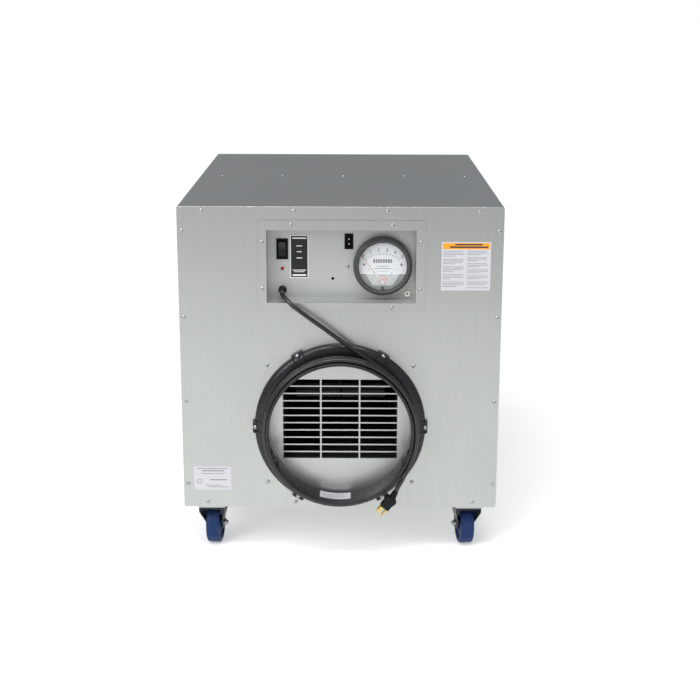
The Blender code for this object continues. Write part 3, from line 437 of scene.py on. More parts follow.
def add_block(shape, corners, offset):
    """Face through the corners, extruded by an offset."""
    face = shape.faces.new([shape.verts.new(corner) for corner in corners])
    lifted = bmesh.ops.extrude_face_region(shape, geom=[face])
    top = [item for item in lifted["geom"] if isinstance(item, bmesh.types.BMVert)]
    bmesh.ops.translate(shape, verts=top, vec=offset)


def add_prism(shape, outline, low, high, at):
    """Flat outline, extruded from one height to another."""
    corners = [at @ Vector((x, y, low)) for x, y in outline]
    add_block(shape, corners, at.to_3x3() @ Vector((0, 0, high - low)))


def add_ring(shape, outer, inner, low, high, at):
    """Closed band between two outlines with the same number of points."""
    rows = [[shape.verts.new(at @ Vector((x, y, z))) for x, y in loop]
            for loop, z in ((outer, low), (outer, high), (inner, high), (inner, low))]
    count = len(outer)
    for first, second in zip(rows, [*rows[1:], rows[0]]):
        for number in range(count):
            after = (number + 1) % count
            shape.faces.new((first[number], first[after], second[after], second[number]))


def add_lathe(shape, profile, at, steps, closed=False):
    """(radius, height) points turned about the drawing's Z."""
    ring = [shape.verts.new(at @ Vector((radius, 0, height))) for radius, height in profile]
    pairs = list(zip(ring, ring[1:]))
    if closed:
        pairs.append((ring[-1], ring[0]))
    edges = [shape.edges.new(pair) for pair in pairs]
    bmesh.ops.spin(shape, geom=[*ring, *edges], cent=at.translation, angle=math.tau,
                   axis=at.to_3x3() @ Vector((0, 0, 1)), steps=steps, use_merge=True)


def add_box(shape, x, y, z, at):
    size = (x[1] - x[0], y[1] - y[0], z[1] - z[0], 1)
    middle = Matrix.Translation(((x[0] + x[1]) / 2, (y[0] + y[1]) / 2, (z[0] + z[1]) / 2))
    bmesh.ops.create_cube(shape, size=1, matrix=at @ middle @ Matrix.Diagonal(size))


def add_copy(shape, mesh, at):
    count = len(shape.verts)
    shape.from_mesh(mesh)
    shape.verts.ensure_lookup_table()
    bmesh.ops.transform(shape, matrix=at, verts=shape.verts[count:])


def soften(item, bevel):
    step = item.modifiers.new("edges", "BEVEL")
    step.width = bevel
    step.segments = 2
    step.limit_method = "ANGLE"
    step.angle_limit = math.radians(35)
    step.harden_normals = True
    step.use_clamp_overlap = True


def mesh_from(name, shape):
    """Mesh made from a bmesh, with its seams closed and its normals facing out."""
    bmesh.ops.remove_doubles(shape, verts=shape.verts, dist=0.000002)
    bmesh.ops.recalc_face_normals(shape, faces=shape.faces)
    mesh = bpy.data.meshes.new(name)
    shape.to_mesh(mesh)
    shape.free()
    return mesh


def placed(name, data):
    """New object in the scene."""
    item = bpy.data.objects.new(name, data)
    SCENE.collection.objects.link(item)
    return item


def evaluated(item):
    """Mesh of an object as its modifiers or its text make it."""
    bpy.context.view_layer.update()
    return bpy.data.meshes.new_from_object(item.evaluated_get(bpy.context.evaluated_depsgraph_get()))


def piece(name, shape, finish, body="cabinet", bevel=0.0, sharp=38):
    """Visible piece made from a bmesh in the row frame, riding on a body."""
    mesh = mesh_from(name, shape)
    mesh.materials.append(finish)
    mesh.shade_smooth()
    item = placed(name, mesh)
    if bevel:
        soften(item, bevel)
    else:
        mesh.set_sharp_from_angle(angle=math.radians(sharp))
    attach(item, body)
    return item


def dress(node, finish, bevel):
    """Better material for a CAD node, with its edges broken as the real ones are."""
    item = NODES[node]
    item.material_slots[0].material = finish
    normals = item.data.attributes.get("custom_normal")
    if normals:
        item.data.attributes.remove(normals)
    item.data.shade_smooth()
    weld = item.modifiers.new("weld", "WELD")
    weld.merge_threshold = 0.00001
    flat = item.modifiers.new("flat", "DECIMATE")
    flat.decimate_type = "DISSOLVE"
    flat.angle_limit = math.radians(0.5)
    soften(item, bevel)


# ---------------- camera

def camera():
    lens = bpy.data.cameras.new("camera")
    lens.lens = LENS_MM
    lens.sensor_width = SENSOR_MM
    eye = placed("camera", lens)
    eye.location = (CAMERA_ASIDE, FRONT - CAMERA_BACK, TOP + CAMERA_ABOVE)
    pitch = Matrix.Rotation(math.radians(90) - CAMERA_DOWN, 4, "X")
    eye.rotation_euler = (pitch @ Matrix.Rotation(CAMERA_ROLL, 4, "Z")).to_euler()
    SCENE.camera = eye


# ---------------- mains cord

def spot(x, below, behind):
    return Vector((x, FRONT + behind, TOP - below))


def around_collar(clockwise, radius, front):
    return Vector((radius * math.sin(clockwise), FRONT - front, COLLAR_Z + radius * math.cos(clockwise)))


def smooth_line(points, spacing):
    """Points along a Catmull-Rom curve through given points, about evenly spaced."""
    knots = [Vector(point) for point in points]
    knots = [2 * knots[0] - knots[1], *knots, 2 * knots[-1] - knots[-2]]
    line = []
    for before, start, end, after in zip(knots, knots[1:], knots[2:], knots[3:]):
        count = max(1, round((end - start).length / spacing))
        for number in range(count):
            t = number / count
            line.append(0.5 * (2 * start + t * (end - before)
                               + t ** 2 * (2 * before - 5 * start + 4 * end - after)
                               + t ** 3 * (3 * start - before - 3 * end + after)))
    return [*line, knots[-2]]


def eased(value, low, high):
    share = min(1, max(0, (value - low) / (high - low)))
    return share * share * (3 - 2 * share)


def cord_line():
    """The gland, the slanting lead, the turns round the collar, and the tail down to the plug."""
    lead = [spot(x, below, behind) for x, behind, below in CORD_ROUTE]
    last = TAIL_LEAVES + COIL_TURNS * math.tau
    steps = 56 * COIL_TURNS
    coil = []
    for step in range(steps + 1):
        share = step / steps
        angle = COIL_STARTS + (last - COIL_STARTS) * share
        front = COIL_FRONT + (TAIL_FRONT - COIL_FRONT) * share
        lifted = eased(front, TAIL_FRONT - 0.0060, TAIL_FRONT - 0.0022)
        radius = COIL_RADIUS + (TAIL_RADIUS - COIL_RADIUS) * lifted
        coil.append(around_collar(angle, radius, front))
    down = Vector((math.cos(TAIL_LEAVES), 0, -math.sin(TAIL_LEAVES)))
    end = coil[-1] + down * TAIL_LENGTH
    end.y = FRONT - PLUG_FRONT
    middle = end + Vector((math.sin(TAIL_TILT), 0, math.cos(TAIL_TILT))) * TAIL_LENGTH / 2
    landing = smooth_line([*lead, coil[0], coil[3]], 0.006)[:-1]
    tail = smooth_line([coil[-3], coil[-1], middle, end], 0.006)
    return [*[p for p in landing if p.x < coil[0].x - 0.002], *coil[:-2], *tail], end


def cord(pieces_on_it):
    line = cord_line()[0]
    curve = bpy.data.curves.new("mains_cord", "CURVE")
    curve.dimensions = "3D"
    curve.bevel_depth = CORD_RADIUS
    curve.bevel_resolution = 6
    curve.use_fill_caps = True
    spline = curve.splines.new("POLY")
    spline.points.add(len(line) - 1)
    for point, position in zip(spline.points, line):
        point.co = (*position, 1)
    spline.use_smooth = True
    item = placed("mains_cord", curve)
    curve.materials.append(JACKET)
    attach(item, "cabinet")
    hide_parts("power_cord_lead", "power_cord_coil", "power_cord_tail")


def plug():
    """Grounded plug: ribbed neck in line with the cord, waisted grip, flat face and brass prongs."""
    end = cord_line()[1]
    neck_at = Matrix.Translation(end) @ Matrix.Rotation(TAIL_TILT, 4, "Y")
    at = neck_at @ Matrix.Translation((0, 0, -RELIEF_LENGTH))
    at = at @ Matrix.Rotation(PLUG_TILT - TAIL_TILT, 4, "Y")
    face = -0.027
    shape = bmesh.new()
    neck = [(0, -0.0004), (0.0050, -0.0004), (0.0056, -0.0012)]
    for rib in range(5):
        z = -0.0030 - rib * 0.0030
        radius = 0.0060 + rib * 0.0004
        neck += [(radius, z), (radius, z - 0.0014), (radius - 0.0011, z - 0.0018),
                 (radius - 0.0011, z - 0.0026)]
    foot = -RELIEF_LENGTH - 0.003
    neck += [(0.0080, -RELIEF_LENGTH + 0.0003), (0.0080, foot), (0, foot)]
    add_lathe(shape, neck, neck_at, steps=28)
    sides = [(0.0104, 0), (0.0118, -0.0008), (0.0124, -0.0030), (0.0124, -0.0062), (0.0118, -0.0092),
             (0.0108, -0.0118), (0.0103, -0.0140), (0.0101, face + 0.0012), (0.0092, face)]
    outline = [*sides, *[(-x, z) for x, z in reversed(sides)]]
    grip = at @ Matrix.Rotation(math.radians(90), 4, "X")
    add_prism(shape, outline, -0.0080, 0.0080, grip)
    for level in (-0.00824, 0.0079):
        for rib in range(4):
            z = -0.0135 - rib * 0.0030
            add_prism(shape, rounded(0.0082, 0.0008, 0.0006, 2), level, level + 0.00034,
                      grip @ Matrix.Translation((0, z, 0)))
    moulding = piece("plug_moulding", shape, PLUG_BLACK, bevel=0.0011)
    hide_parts("plug")
    pins = bmesh.new()
    ground = [(0, face - 0.0175), (0.0012, face - 0.0173), (0.0021, face - 0.0160),
              (0.0024, face - 0.0142), (0.0024, face + 0.002), (0, face + 0.002)]
    add_lathe(pins, ground, at @ Matrix.Translation((0.0066, 0, 0)), steps=24)
    beside_ground = grip @ Matrix.Translation((-0.0052, face, 0))
    for level in (-0.0063, 0.0063):
        blade = [(-0.0032, 0.002), (-0.0032, -0.0142), (-0.0018, -0.0160), (0.0018, -0.0160),
                 (0.0032, -0.0142), (0.0032, 0.002)]
        add_prism(pins, blade, level - 0.00075, level + 0.00075, beside_ground)
    prongs = piece("plug_prongs", pins, BRASS, bevel=0.0002)
    return [moulding, prongs]


def strain_relief():
    """Flexible tapered bush with grip slots, where the cord leaves the panel."""
    mouth = RECESS_FLOOR - (FRONT + CORD_ROUTE[0][1]) - GAP
    at = facing(CORD_ROUTE[0][0], RECESS_FLOOR, TOP - CORD_ROUTE[0][2])
    profile = [(0.0046, mouth), (0.0054, mouth), (0.0057, mouth - 0.0008)]
    for rib in range(4):
        z = mouth - 0.0022 - rib * 0.0032
        radius = 0.0059 + rib * 0.0004
        profile += [(radius, z), (radius, z - 0.0016), (radius - 0.0009, z - 0.0020),
                    (radius - 0.0009, z - 0.0028)]
    profile += [(0.0078, 0.0060), (0.0084, 0.0052), (0.0085, 0.0045), (0.0085, GAP), (0.0070, GAP),
                (0.0070, -0.010), (0.0046, -0.010)]
    shape = bmesh.new()
    add_lathe(shape, profile, at, steps=40, closed=True)
    bush = piece("strain_relief", shape, RUBBER, bevel=0.0002)
    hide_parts("cord_gland")
    return bush


# ---------------- screws

def screw_head():
    """Pan head with a cross recess. It is made once and copied."""
    radius, height = 0.0042, 0.0024
    shape = bmesh.new()
    dome = [(0, height), (0.0014, height * 0.98), (0.0027, height * 0.86), (0.0037, height * 0.58),
            (radius, height * 0.22), (radius, 0), (0, 0)]
    add_lathe(shape, dome, Matrix(), steps=28)
    reach, half = 0.0022, 0.00042
    cross = [(reach, half), (half, half), (half, reach)]
    for _ in range(3):
        cross += [(-y, x) for x, y in cross[-3:]]
    cutter = bmesh.new()
    add_prism(cutter, cross, 0.0009, 0.004, Matrix())
    body = placed("screw_head", mesh_from("screw_head", shape))
    tool = placed("cross", mesh_from("cross", cutter))
    cut = body.modifiers.new("cross", "BOOLEAN")
    cut.object = tool
    cut.solver = "EXACT"
    made = evaluated(body)
    for item in (body, tool):
        bpy.data.objects.remove(item, do_unlink=True)
    return made


def screws(name, places, turns, finish=ZINC):
    """One piece for a group of like screws, each turned differently."""
    shape = bmesh.new()
    for place in places:
        add_copy(shape, SCREW_HEAD, place @ Matrix.Rotation(turns.uniform(0, math.tau), 4, "Z"))
    piece(name, shape, finish, sharp=32)


def all_screws():
    turns = random.Random(7)
    across, out, under_edge = (-0.280, -0.094, 0.094, 0.280), 0.321, 0.0085
    sides = (-1, 1)
    front = [facing(x, FRONT, level) for level in (TOP - under_edge, BOTTOM + 0.011) for x in across]
    front += [facing(side * out, FRONT, TOP - below)
              for side in sides for below in (0.049, 0.228, 0.408, 0.589)]
    screws("front_panel_screws", front, turns)
    duct = [facing(side * 0.152, FRONT, TOP - below) for side in sides for below in (0.330, 0.585)]
    screws("blower_screws", duct, turns)
    middle = (TRIM_LOW.x + TRIM_HIGH.x) / 2
    trim = [(x, below) for x in (-0.1022, 0.1032) for below in (0.037, 0.206)]
    trim += [(side * 0.1607, below) for side in sides for below in (0.072, 0.168)]
    screws("trim_screws", [facing(middle + x, TRIM_LOW.y, TOP - below) for x, below in trim], turns)
    seat = FRONT - EAR_SEAT
    ears = [facing(EAR_RING * math.cos(a), seat, COLLAR_Z + EAR_RING * math.sin(a))
            for a in (math.radians(60 * number) for number in range(6))]
    screws("collar_screws", ears, turns)
    top = [Matrix.Translation((0.0035 + 0.1412 * number, BULKHEAD, TOP)) for number in range(-2, 3)]
    screws("top_screws", top, turns)
    for side, side_name in ((-1, "left"), (1, "right")):
        levels = (0.085, 0.245, 0.405, 0.565)
        wall = [along((side * HALF_WIDTH, BULKHEAD, TOP - below), (side, 0, 0)) for below in levels]
        screws("bulkhead_screws_" + side_name, wall, turns)
    rear = [along((x, REAR, TOP - under_edge), (0, 1, 0)) for x in across]
    rear += [along((side * out, REAR, TOP - below), (0, 1, 0))
             for side in sides for below in (0.049, 0.589)]
    screws("rear_frame_screws", rear, turns)
    screws("alarm_bracket_screw", [facing(0.014, RECESS_FLOOR, TOP - 0.130)], turns, SHEET_FRONT)


# ---------------- cabinet

def cabinet():
    dress("cabinet_wrapper", SHEET_TOP, 0.0003)
    dress("front_panel", SHEET_FRONT, 0.0006)
    dress("rear_frame", SHEET_FRONT, 0.0005)
    dress("base_pan", SHEET_INNER, 0.0003)
    dress("control_box", SHEET_BOX, 0.0003)
    for node in ("wiring_cover", "filter_bulkhead"):
        dress(node, SHEET_INNER, 0.0003)
    for node in ("blower_housing", "blower_wheel", "motor_bracket", "motor_body"):
        dress(node, ENAMEL, 0.0003)
    for node in ("motor_shaft", "run_capacitor"):
        dress(node, STEEL, 0.0003)


def trim_mitres():
    """Seams where the trim's flanges meet at its corners, and a painted shadow line round its edge."""
    inner_x, inner_top, inner_bottom = 0.1520, TOP - 0.0471, TOP - 0.1978
    middle, outer_x = (TRIM_LOW.x + TRIM_HIGH.x) / 2, (TRIM_HIGH.x - TRIM_LOW.x) / 2
    half, line = 0.00022, 0.0004
    shape = bmesh.new()
    for side in (-1, 1):
        for inner_z, outer_z in ((inner_top, TRIM_HIGH.z), (inner_bottom, TRIM_LOW.z)):
            start = Vector((side * inner_x, inner_z, 0))
            end = Vector((side * outer_x, outer_z, 0))
            offset = (end - start).normalized().cross(Vector((0, 0, 1))) * half
            corners = [start + offset, end + offset, end - offset, start - offset]
            add_prism(shape, [(p.x, p.y) for p in corners], 0, INK, facing(middle, TRIM_LOW.y, 0))
    # The grey ring round the trim's outer edge is a painted shadow line along that edge.
    half_height = (TRIM_HIGH.z - TRIM_LOW.z) / 2
    outer = [(outer_x, half_height), (-outer_x, half_height), (-outer_x, -half_height),
             (outer_x, -half_height)]
    edge = [(x - math.copysign(line, x), y - math.copysign(line, y)) for x, y in outer]
    add_ring(shape, outer, edge, 0, INK, facing(middle, TRIM_LOW.y, (TRIM_LOW.z + TRIM_HIGH.z) / 2))
    piece("trim_mitre_seams_and_painted_edge_shadow", shape, GREY_INK_AND_PAINTED_SHADOW)


# ---------------- control station

def add_bars(shape, rows, at):
    """Ruled bars in place of printed lines. Each row is (x from, x to, y, height)."""
    for start, end, level, height in rows:
        top = level + height
        add_prism(shape, [(start, level), (end, level), (end, top), (start, top)], 0, INK, at)


def flat(name, outline, low, high, at, finish):
    """Piece made of one flat prism."""
    shape = bmesh.new()
    add_prism(shape, outline, low, high, at)
    piece(name, shape, finish)


def bars(name, rows, at, finish):
    shape = bmesh.new()
    add_bars(shape, rows, at)
    piece(name, shape, finish)


def speed_label():
    dress("speed_label_plate", LABEL_BLACK, 0.0002)
    centre = (LABEL_LOW + LABEL_HIGH) / 2
    at = facing(centre.x, LABEL_LOW.y, centre.z)
    half_width = (LABEL_HIGH.x - LABEL_LOW.x) / 2 - 0.0001
    half_height = (LABEL_HIGH.z - LABEL_LOW.z) / 2 - 0.0001
    border = 0.0017
    shape = bmesh.new()
    add_ring(shape, rounded(half_width, half_height, 0.0026),
             rounded(half_width - border, half_height - border, 0.0018), 0, INK, at)
    for half_length, level, height in ((0.0145, 0.0372, 0.0024), (0.0060, 0.0215, 0.0016),
                                       (0.0048, 0.0095, 0.0016), (0.0060, -0.0035, 0.0016),
                                       (0.0135, -0.0290, 0.0016), (0.0110, -0.0322, 0.0012),
                                       (0.0140, -0.0405, 0.0034)):
        add_bars(shape, [(-half_length, half_length, level, height)], at)
    piece("speed_label_print", shape, WHITE_INK_AND_PAINTED_HIGHLIGHT)


def switches():
    for node in ("speed_switch_housing", "alarm_switch_housing"):
        dress(node, SWITCH_BLACK, 0.0005)
    dress("speed_switch_rocker", GLOSS_BLACK, 0.0006)
    dress("alarm_switch_rocker", SWITCH_BLACK, 0.0005)
    low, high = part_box("alarm_switch_rocker")
    shape = bmesh.new()
    for share, sunk in ((0.72, 0.0008), (0.28, 0.0016)):
        at = facing((low.x + high.x) / 2, low.y + sunk, low.z + (high.z - low.z) * share)
        add_prism(shape, rounded(0.0011, 0.0011, 0.001, 4), -0.0002, 0.00015, at)
    piece("alarm_rocker_marks", shape, WHITE_INK_AND_PAINTED_HIGHLIGHT, body="alarm_rocker")
    dress("indicator_lamp", LENS_RED_WITH_PAINTED_GLOW, 0.0001)
    dress("pressure_port", NYLON, 0.0003)


def gauge():
    """Differential pressure gauge: rim, printed dial, numbers, zero screw and lens."""
    dress("gauge_case", SWITCH_BLACK, 0.0003)
    dress("gauge_dial", DIAL_WHITE, 0.0001)
    dress("gauge_pointer", NEEDLE, 0.00005)
    dress("gauge_lens", ACRYLIC, 0.0002)
    rim_at = facing(GAUGE.x, RECESS_FLOOR, GAUGE.z)
    profile = [(0.0560, 0.0225), (0.0578, 0.0218), (0.0592, 0.0206), (0.0601, 0.0188), (0.0605, 0.0165),
               (0.0605, 0.0125), (0.0598, 0.0118), (0.0598, 0.0100), (0.0605, 0.0092), (0.0605, 0.0003),
               (0.0558, 0.0003), (0.0558, 0.0165), (0.0495, 0.0174), (0.0494, 0.0186), (0.0502, 0.0200),
               (0.0516, 0.0214), (0.0532, 0.0222), (0.0545, 0.0225)]
    shape = bmesh.new()
    add_lathe(shape, profile, rim_at, steps=128, closed=True)
    rim = piece("gauge_rim", shape, GAUGE_GREY, bevel=0.0002)
    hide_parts("gauge_bezel")
    seams = bmesh.new()
    for outer, inner, height in ((0.0563, 0.0556, 0.02256), (0.0504, 0.0497, 0.0202)):
        edges = [arc((0, 0), radius, 0, 357, 119) for radius in (outer, inner)]
        add_ring(seams, *edges, height - 0.0012, height + 0.00004, rim_at)
    piece("gauge_rim_lines", seams, SWITCH_BLACK)

    dial_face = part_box("gauge_dial")[0].y
    at = facing(GAUGE.x, dial_face, GAUGE.z)
    at_pivot = at @ Matrix.Translation((0, -0.0355, 0))
    figures_at = 0.0675
    marks = bmesh.new()
    sweep = math.radians(36.8)
    for step in range(26):
        angle = math.pi / 2 + sweep - 2 * sweep * step / 25
        long_mark = step % 5 == 0
        outer, inner = 0.0605, 0.0572 if long_mark else 0.0587
        half = 0.00050 if long_mark else 0.00028
        turned = at_pivot @ Matrix.Rotation(angle, 4, "Z")
        add_prism(marks, [(inner, -half), (outer, -half), (outer, half), (inner, half)], 0, INK, turned)
    for outer, inner, reach in ((0.0607, 0.0603, 37), (0.0802, 0.0797, 18)):
        edge, back = (arc((0, 0), radius, 90 - reach, 90 + reach, 32) for radius in (outer, inner))
        add_prism(marks, [*edge, *reversed(back)], 0, INK, at_pivot)
    for number in range(6):
        angle = math.pi / 2 + sweep - 2 * sweep * number / 5
        where = (figures_at * math.cos(angle), figures_at * math.sin(angle), 0)
        add_digit(marks, str(number), 0.0096, at_pivot @ Matrix.Translation(where))
    add_bars(marks, [(-0.0195 + 0.0050 * number, -0.0157 + 0.0050 * number, 0.0052, 0.0078)
                     for number in range(8)], at)
    piece("gauge_scale", marks, INK_BLACK)
    bars("gauge_small_print", [(-0.0060, 0.0060, 0.0462, 0.0010), (-0.0115, 0.0125, -0.0024, 0.0016),
                               (-0.0170, 0.0180, -0.0072, 0.0017), (-0.0110, 0.0110, -0.0135, 0.0008)],
         at, GREY_INK_AND_PAINTED_SHADOW)

    # A strip brighter than the dial along its lower edge: a painted highlight on that edge.
    bars("gauge_dial_edge_painted_highlight", [(-0.0490, 0.0490, -0.0179, 0.0020)], at, WHITE_INK_AND_PAINTED_HIGHLIGHT)
    shade = [*arc((0, 0), 0.0524, 200.5, 339.5, 28), (0.0357, -0.0183), (0.0207, -0.0424),
             (-0.0207, -0.0424), (-0.0357, -0.0183)]
    flat("gauge_shade_plate", shade, -0.0006, -0.0002, at, DIAL_SHADE)
    tongue = [(0.0346, -0.0184), (0.0200, -0.0416), (-0.0200, -0.0416), (-0.0346, -0.0184)]
    flat("gauge_tongue", tongue, 0, INK / 2, at, DIAL_GREY)
    fixings = bmesh.new()
    for side in (-1, 1):
        add_lathe(fixings, [(0, 0.0011), (0.0018, 0.0009), (0.0028, 0.0003), (0.0028, 0), (0, 0)],
                  at @ Matrix.Translation((side * 0.0385, 0.0017, 0)), steps=20)
        for x, y in ((0.0290, -0.0077), (0.0187, -0.0150), (0.0160, -0.0213), (0.0225, -0.0290)):
            add_prism(fixings, rounded(0.0011, 0.0011, 0.001, 3), 0, INK,
                      at @ Matrix.Translation((side * x, y, 0)))
    piece("gauge_dial_screws", fixings, INK_BLACK)
    red = bmesh.new()
    centre = at @ Matrix.Translation((0, -0.029, 0))
    add_ring(red, *[arc((0, 0), radius, 0, 350, 35) for radius in (0.0088, 0.0074)], 0, INK, centre)
    add_bars(red, [(-0.0040, 0.0040, 0.0012, 0.0008), (-0.0050, 0.0050, -0.0012, 0.0008)], centre)
    piece("gauge_red_ring", red, INK_RED)
    zero = bmesh.new()
    add_lathe(zero, [(0, 0.0012), (0.0016, 0.0012), (0.0030, 0.0008), (0.0032, 0), (0, 0)],
              facing(GAUGE.x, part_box("gauge_lens")[0].y, GAUGE.z - 0.0455), steps=28)
    piece("gauge_zero_screw", zero, GAUGE_GREY)


def add_digit(shape, text, size, at):
    """Plain figure on a dial, centred, as a thin raised print."""
    letter = bpy.data.curves.new("digit", "FONT")
    letter.body = text
    letter.size = size
    letter.extrude = 0.00003
    letter.offset = 0.00024
    letter.align_x = "CENTER"
    letter.align_y = "CENTER"
    letter.resolution_u = 3
    item = placed("digit", letter)
    mesh = evaluated(item)
    bpy.data.objects.remove(item, do_unlink=True)
    add_copy(shape, mesh, at @ Matrix.Translation((0, 0, 0.00004)))


# ---------------- stickers

def sticker(name, x, below, half_width, half_height):
    """Blank sticker on the front panel. Returns the place of its print."""
    at = facing(x, FRONT, TOP - below)
    flat(name, rounded(half_width, half_height, 0.002), 0.00002, STICKER, at, STICKER_WHITE)
    return at @ Matrix.Translation((0, 0, STICKER))


def text_block(rng, left, right, top, bottom, paragraph=4):
    """Ruled lines of uneven length, in short paragraphs, as (from, to, level, height) rows."""
    pitch, height = 0.0032, 0.0011
    rows = []
    level = top
    count = 0
    while level > bottom:
        count += 1
        share = rng.uniform(0.88, 1.0) if count % paragraph else rng.uniform(0.35, 0.8)
        end = left + (right - left) * share
        rows.append((left, end, level, height))
        level -= pitch * (1 if count % paragraph else 1.9)
    return rows


def stickers():
    rng = random.Random(11)
    at = sticker("notice_sticker", 0.2545, 0.1205, 0.0500, 0.0500)
    band_at = at @ Matrix.Translation((0, 0.0415, 0))
    flat("notice_band", rounded(0.0478, 0.0065, 0.0008), 0, INK, band_at, STICKER_ORANGE)
    columns = text_block(rng, -0.0470, -0.0030, 0.0300, -0.0440)
    columns += text_block(rng, 0.0020, 0.0470, 0.0300, -0.0460, paragraph=3)
    bars("notice_lines", columns, at, GREY_INK_AND_PAINTED_SHADOW)
    bars("notice_heading", [(-0.0230, 0.0330, 0.0432, 0.0030), (-0.0330, 0.0440, 0.0378, 0.0034)],
         at @ Matrix.Translation((0, 0, INK)), INK_BLACK)

    at = sticker("rating_sticker", -0.2690, 0.5770, 0.0390, 0.0260)
    lines = bmesh.new()
    rows = [(-0.032, 0.032, 0.0205, 0.0016), (-0.022, 0.024, 0.0150, 0.0026),
            (-0.024, 0.026, 0.0096, 0.0012), (-0.006, 0.030, -0.0050, 0.0024),
            (-0.016, 0.020, -0.0165, 0.0012), (-0.010, 0.034, -0.0205, 0.0014)]
    add_bars(lines, rows, at)
    edges = [arc((-0.0275, -0.0070), radius, 0, 345, 23) for radius in (0.0055, 0.0042)]
    add_ring(lines, *edges, 0, INK, at)
    piece("rating_lines", lines, GREY_INK_AND_PAINTED_SHADOW)


# ---------------- duct collar

def collar():
    reach = COLLAR_REACH
    at = facing(0, FRONT, COLLAR_Z)
    profile = [(0.1510, reach), (0.1519, reach - 0.0004), (0.1525, reach - 0.0013),
               (0.1525, reach - 0.0034), (0.1519, reach - 0.0042), (0.1505, reach - 0.0046),
               (0.1500, reach - 0.0052), (0.1500, 0.0186), (0.1502, 0.0165), (0.1509, 0.0147),
               (0.1521, 0.0134), (0.1540, 0.0127), (0.1570, 0.0126), (0.1610, 0.0126),
               (0.1650, 0.0122), (0.1690, 0.0113), (0.1725, 0.0098), (0.1752, 0.0077),
               (0.1770, 0.0051), (0.1779, 0.0028), (0.1780, 0.0016), (0.1776, GAP), (0.1460, GAP),
               (0.1460, reach - 0.0014), (0.1464, reach - 0.0005), (0.1474, reach)]
    shape = bmesh.new()
    add_lathe(shape, profile, at, steps=180, closed=True)
    body = piece("collar_moulding", shape, GLOSS_BLACK, sharp=50)
    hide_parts("exhaust_collar")

    ears = bmesh.new()
    for number in range(6):
        ear = at @ Matrix.Rotation(math.radians(60 * number), 4, "Z")
        add_box(ears, (0.1600, 0.1818), (-0.0104, 0.0104), (0.0006, 0.0092), ear)
        add_lathe(ears, [(0.0058, 0.0080), (0.0058, EAR_SEAT), (0, EAR_SEAT), (0, 0.0080)],
                  ear @ Matrix.Translation((0.1758, 0, 0)), steps=24)
        for side in (-1, 1):
            rail = [(0.1555, 0.0100), (0.1580, 0.0132), (0.1780, 0.0132), (0.1805, 0.0112),
                    (0.1818, 0.0070), (0.1818, 0.0006), (0.1640, 0.0006)]
            add_prism(ears, rail, side * 0.01145 - 0.0011, side * 0.01145 + 0.0011,
                      ear @ Matrix.Rotation(math.radians(90), 4, "X"))
    piece("collar_ears", ears, GLOSS_BLACK, bevel=0.0005)

    lugs = bmesh.new()
    for angle in (-22.7, 180 + 22.7):
        lug = at @ Matrix.Rotation(math.radians(angle), 4, "Z")
        add_prism(lugs, [(0.1463, -0.0062), (0.1463, 0.0062), (0.1375, 0.0008), (0.1375, -0.0008)],
                  0.0502, 0.0618, lug)
    piece("collar_lugs", lugs, GLOSS_BLACK, bevel=0.0005)


def collar_label():
    """White strip stuck inside the collar, curved to its wall."""
    half = 0.0325 / COLLAR_BORE
    middle = -0.010 / COLLAR_BORE
    angles = [math.pi - (middle - half + 2 * half * step / 24) for step in range(25)]
    shape = bmesh.new()
    rows = []
    for radius in (0.14585, 0.14565):
        for depth in (0.0100, 0.0460):
            rows.append([shape.verts.new(around_collar(angle, radius, depth)) for angle in angles])
    outer_low, outer_high, inner_low, inner_high = rows
    for low, high in ((outer_low, outer_high), (inner_low, inner_high), (outer_low, inner_low),
                      (outer_high, inner_high)):
        for step in range(24):
            shape.faces.new((low[step], low[step + 1], high[step + 1], high[step]))
    for step in (0, 24):
        shape.faces.new((outer_low[step], outer_high[step], inner_high[step], inner_low[step]))
    piece("collar_sticker", shape, STICKER_WHITE)
    lines = bmesh.new()
    for depth, start, end in ((0.037, -0.8, 0.3), (0.029, -0.8, 0.75), (0.021, -0.8, 0.6)):
        for share in range(12):
            low = start + (end - start) * share / 12
            high = start + (end - start) * (share + 0.8) / 12
            corners = [around_collar(math.pi - (middle + half * a), 0.1456, depth + rise)
                       for a, rise in ((low, 0), (high, 0), (high, 0.002), (low, 0.002))]
            add_block(lines, corners, (0, 0, 0.00005))
    piece("collar_sticker_lines", lines, GREY_INK_AND_PAINTED_SHADOW)


# ---------------- casters

def casters():
    """Rounded tyres about the axles that the joints give, and the finish of what holds them."""
    joints = {joint["child"]: joint for joint in frame["joints"]}
    tread = [(0.0435, 0.0105), (0.0431, 0.0122), (0.0422, 0.0134), (0.0408, 0.0141), (0.0392, 0.0142),
             (0.0344, 0.0142), (0.0338, 0.0138)]
    core = [(0.0332, 0.0112), (0.0320, 0.0104), (0.0178, 0.0102), (0.0166, 0.0108), (0.0156, 0.0134),
            (0.0146, 0.0141), (0.0072, 0.0141), (0.0068, 0.0137)]
    half = [*tread, *core]
    profile = [(0.0435, 0.0), *half, *[(radius, -height) for radius, height in reversed(half)]]
    for name in CORNERS:
        joint = joints["wheel_" + name]
        shape = bmesh.new()
        add_lathe(shape, profile, along(joint["pos_m"], joint["axis"]), steps=72, closed=True)
        wheel = piece("tyre_" + name, shape, BLUE, body="wheel_" + name, sharp=45)
        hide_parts("caster_wheel_" + name)
        dress("caster_fork_" + name, ENAMEL, 0.0008)
        dress("caster_axle_" + name, ZINC, 0.0003)
        dress("caster_plate_" + name, ZINC, 0.0005)


# ---------------- filters at the rear

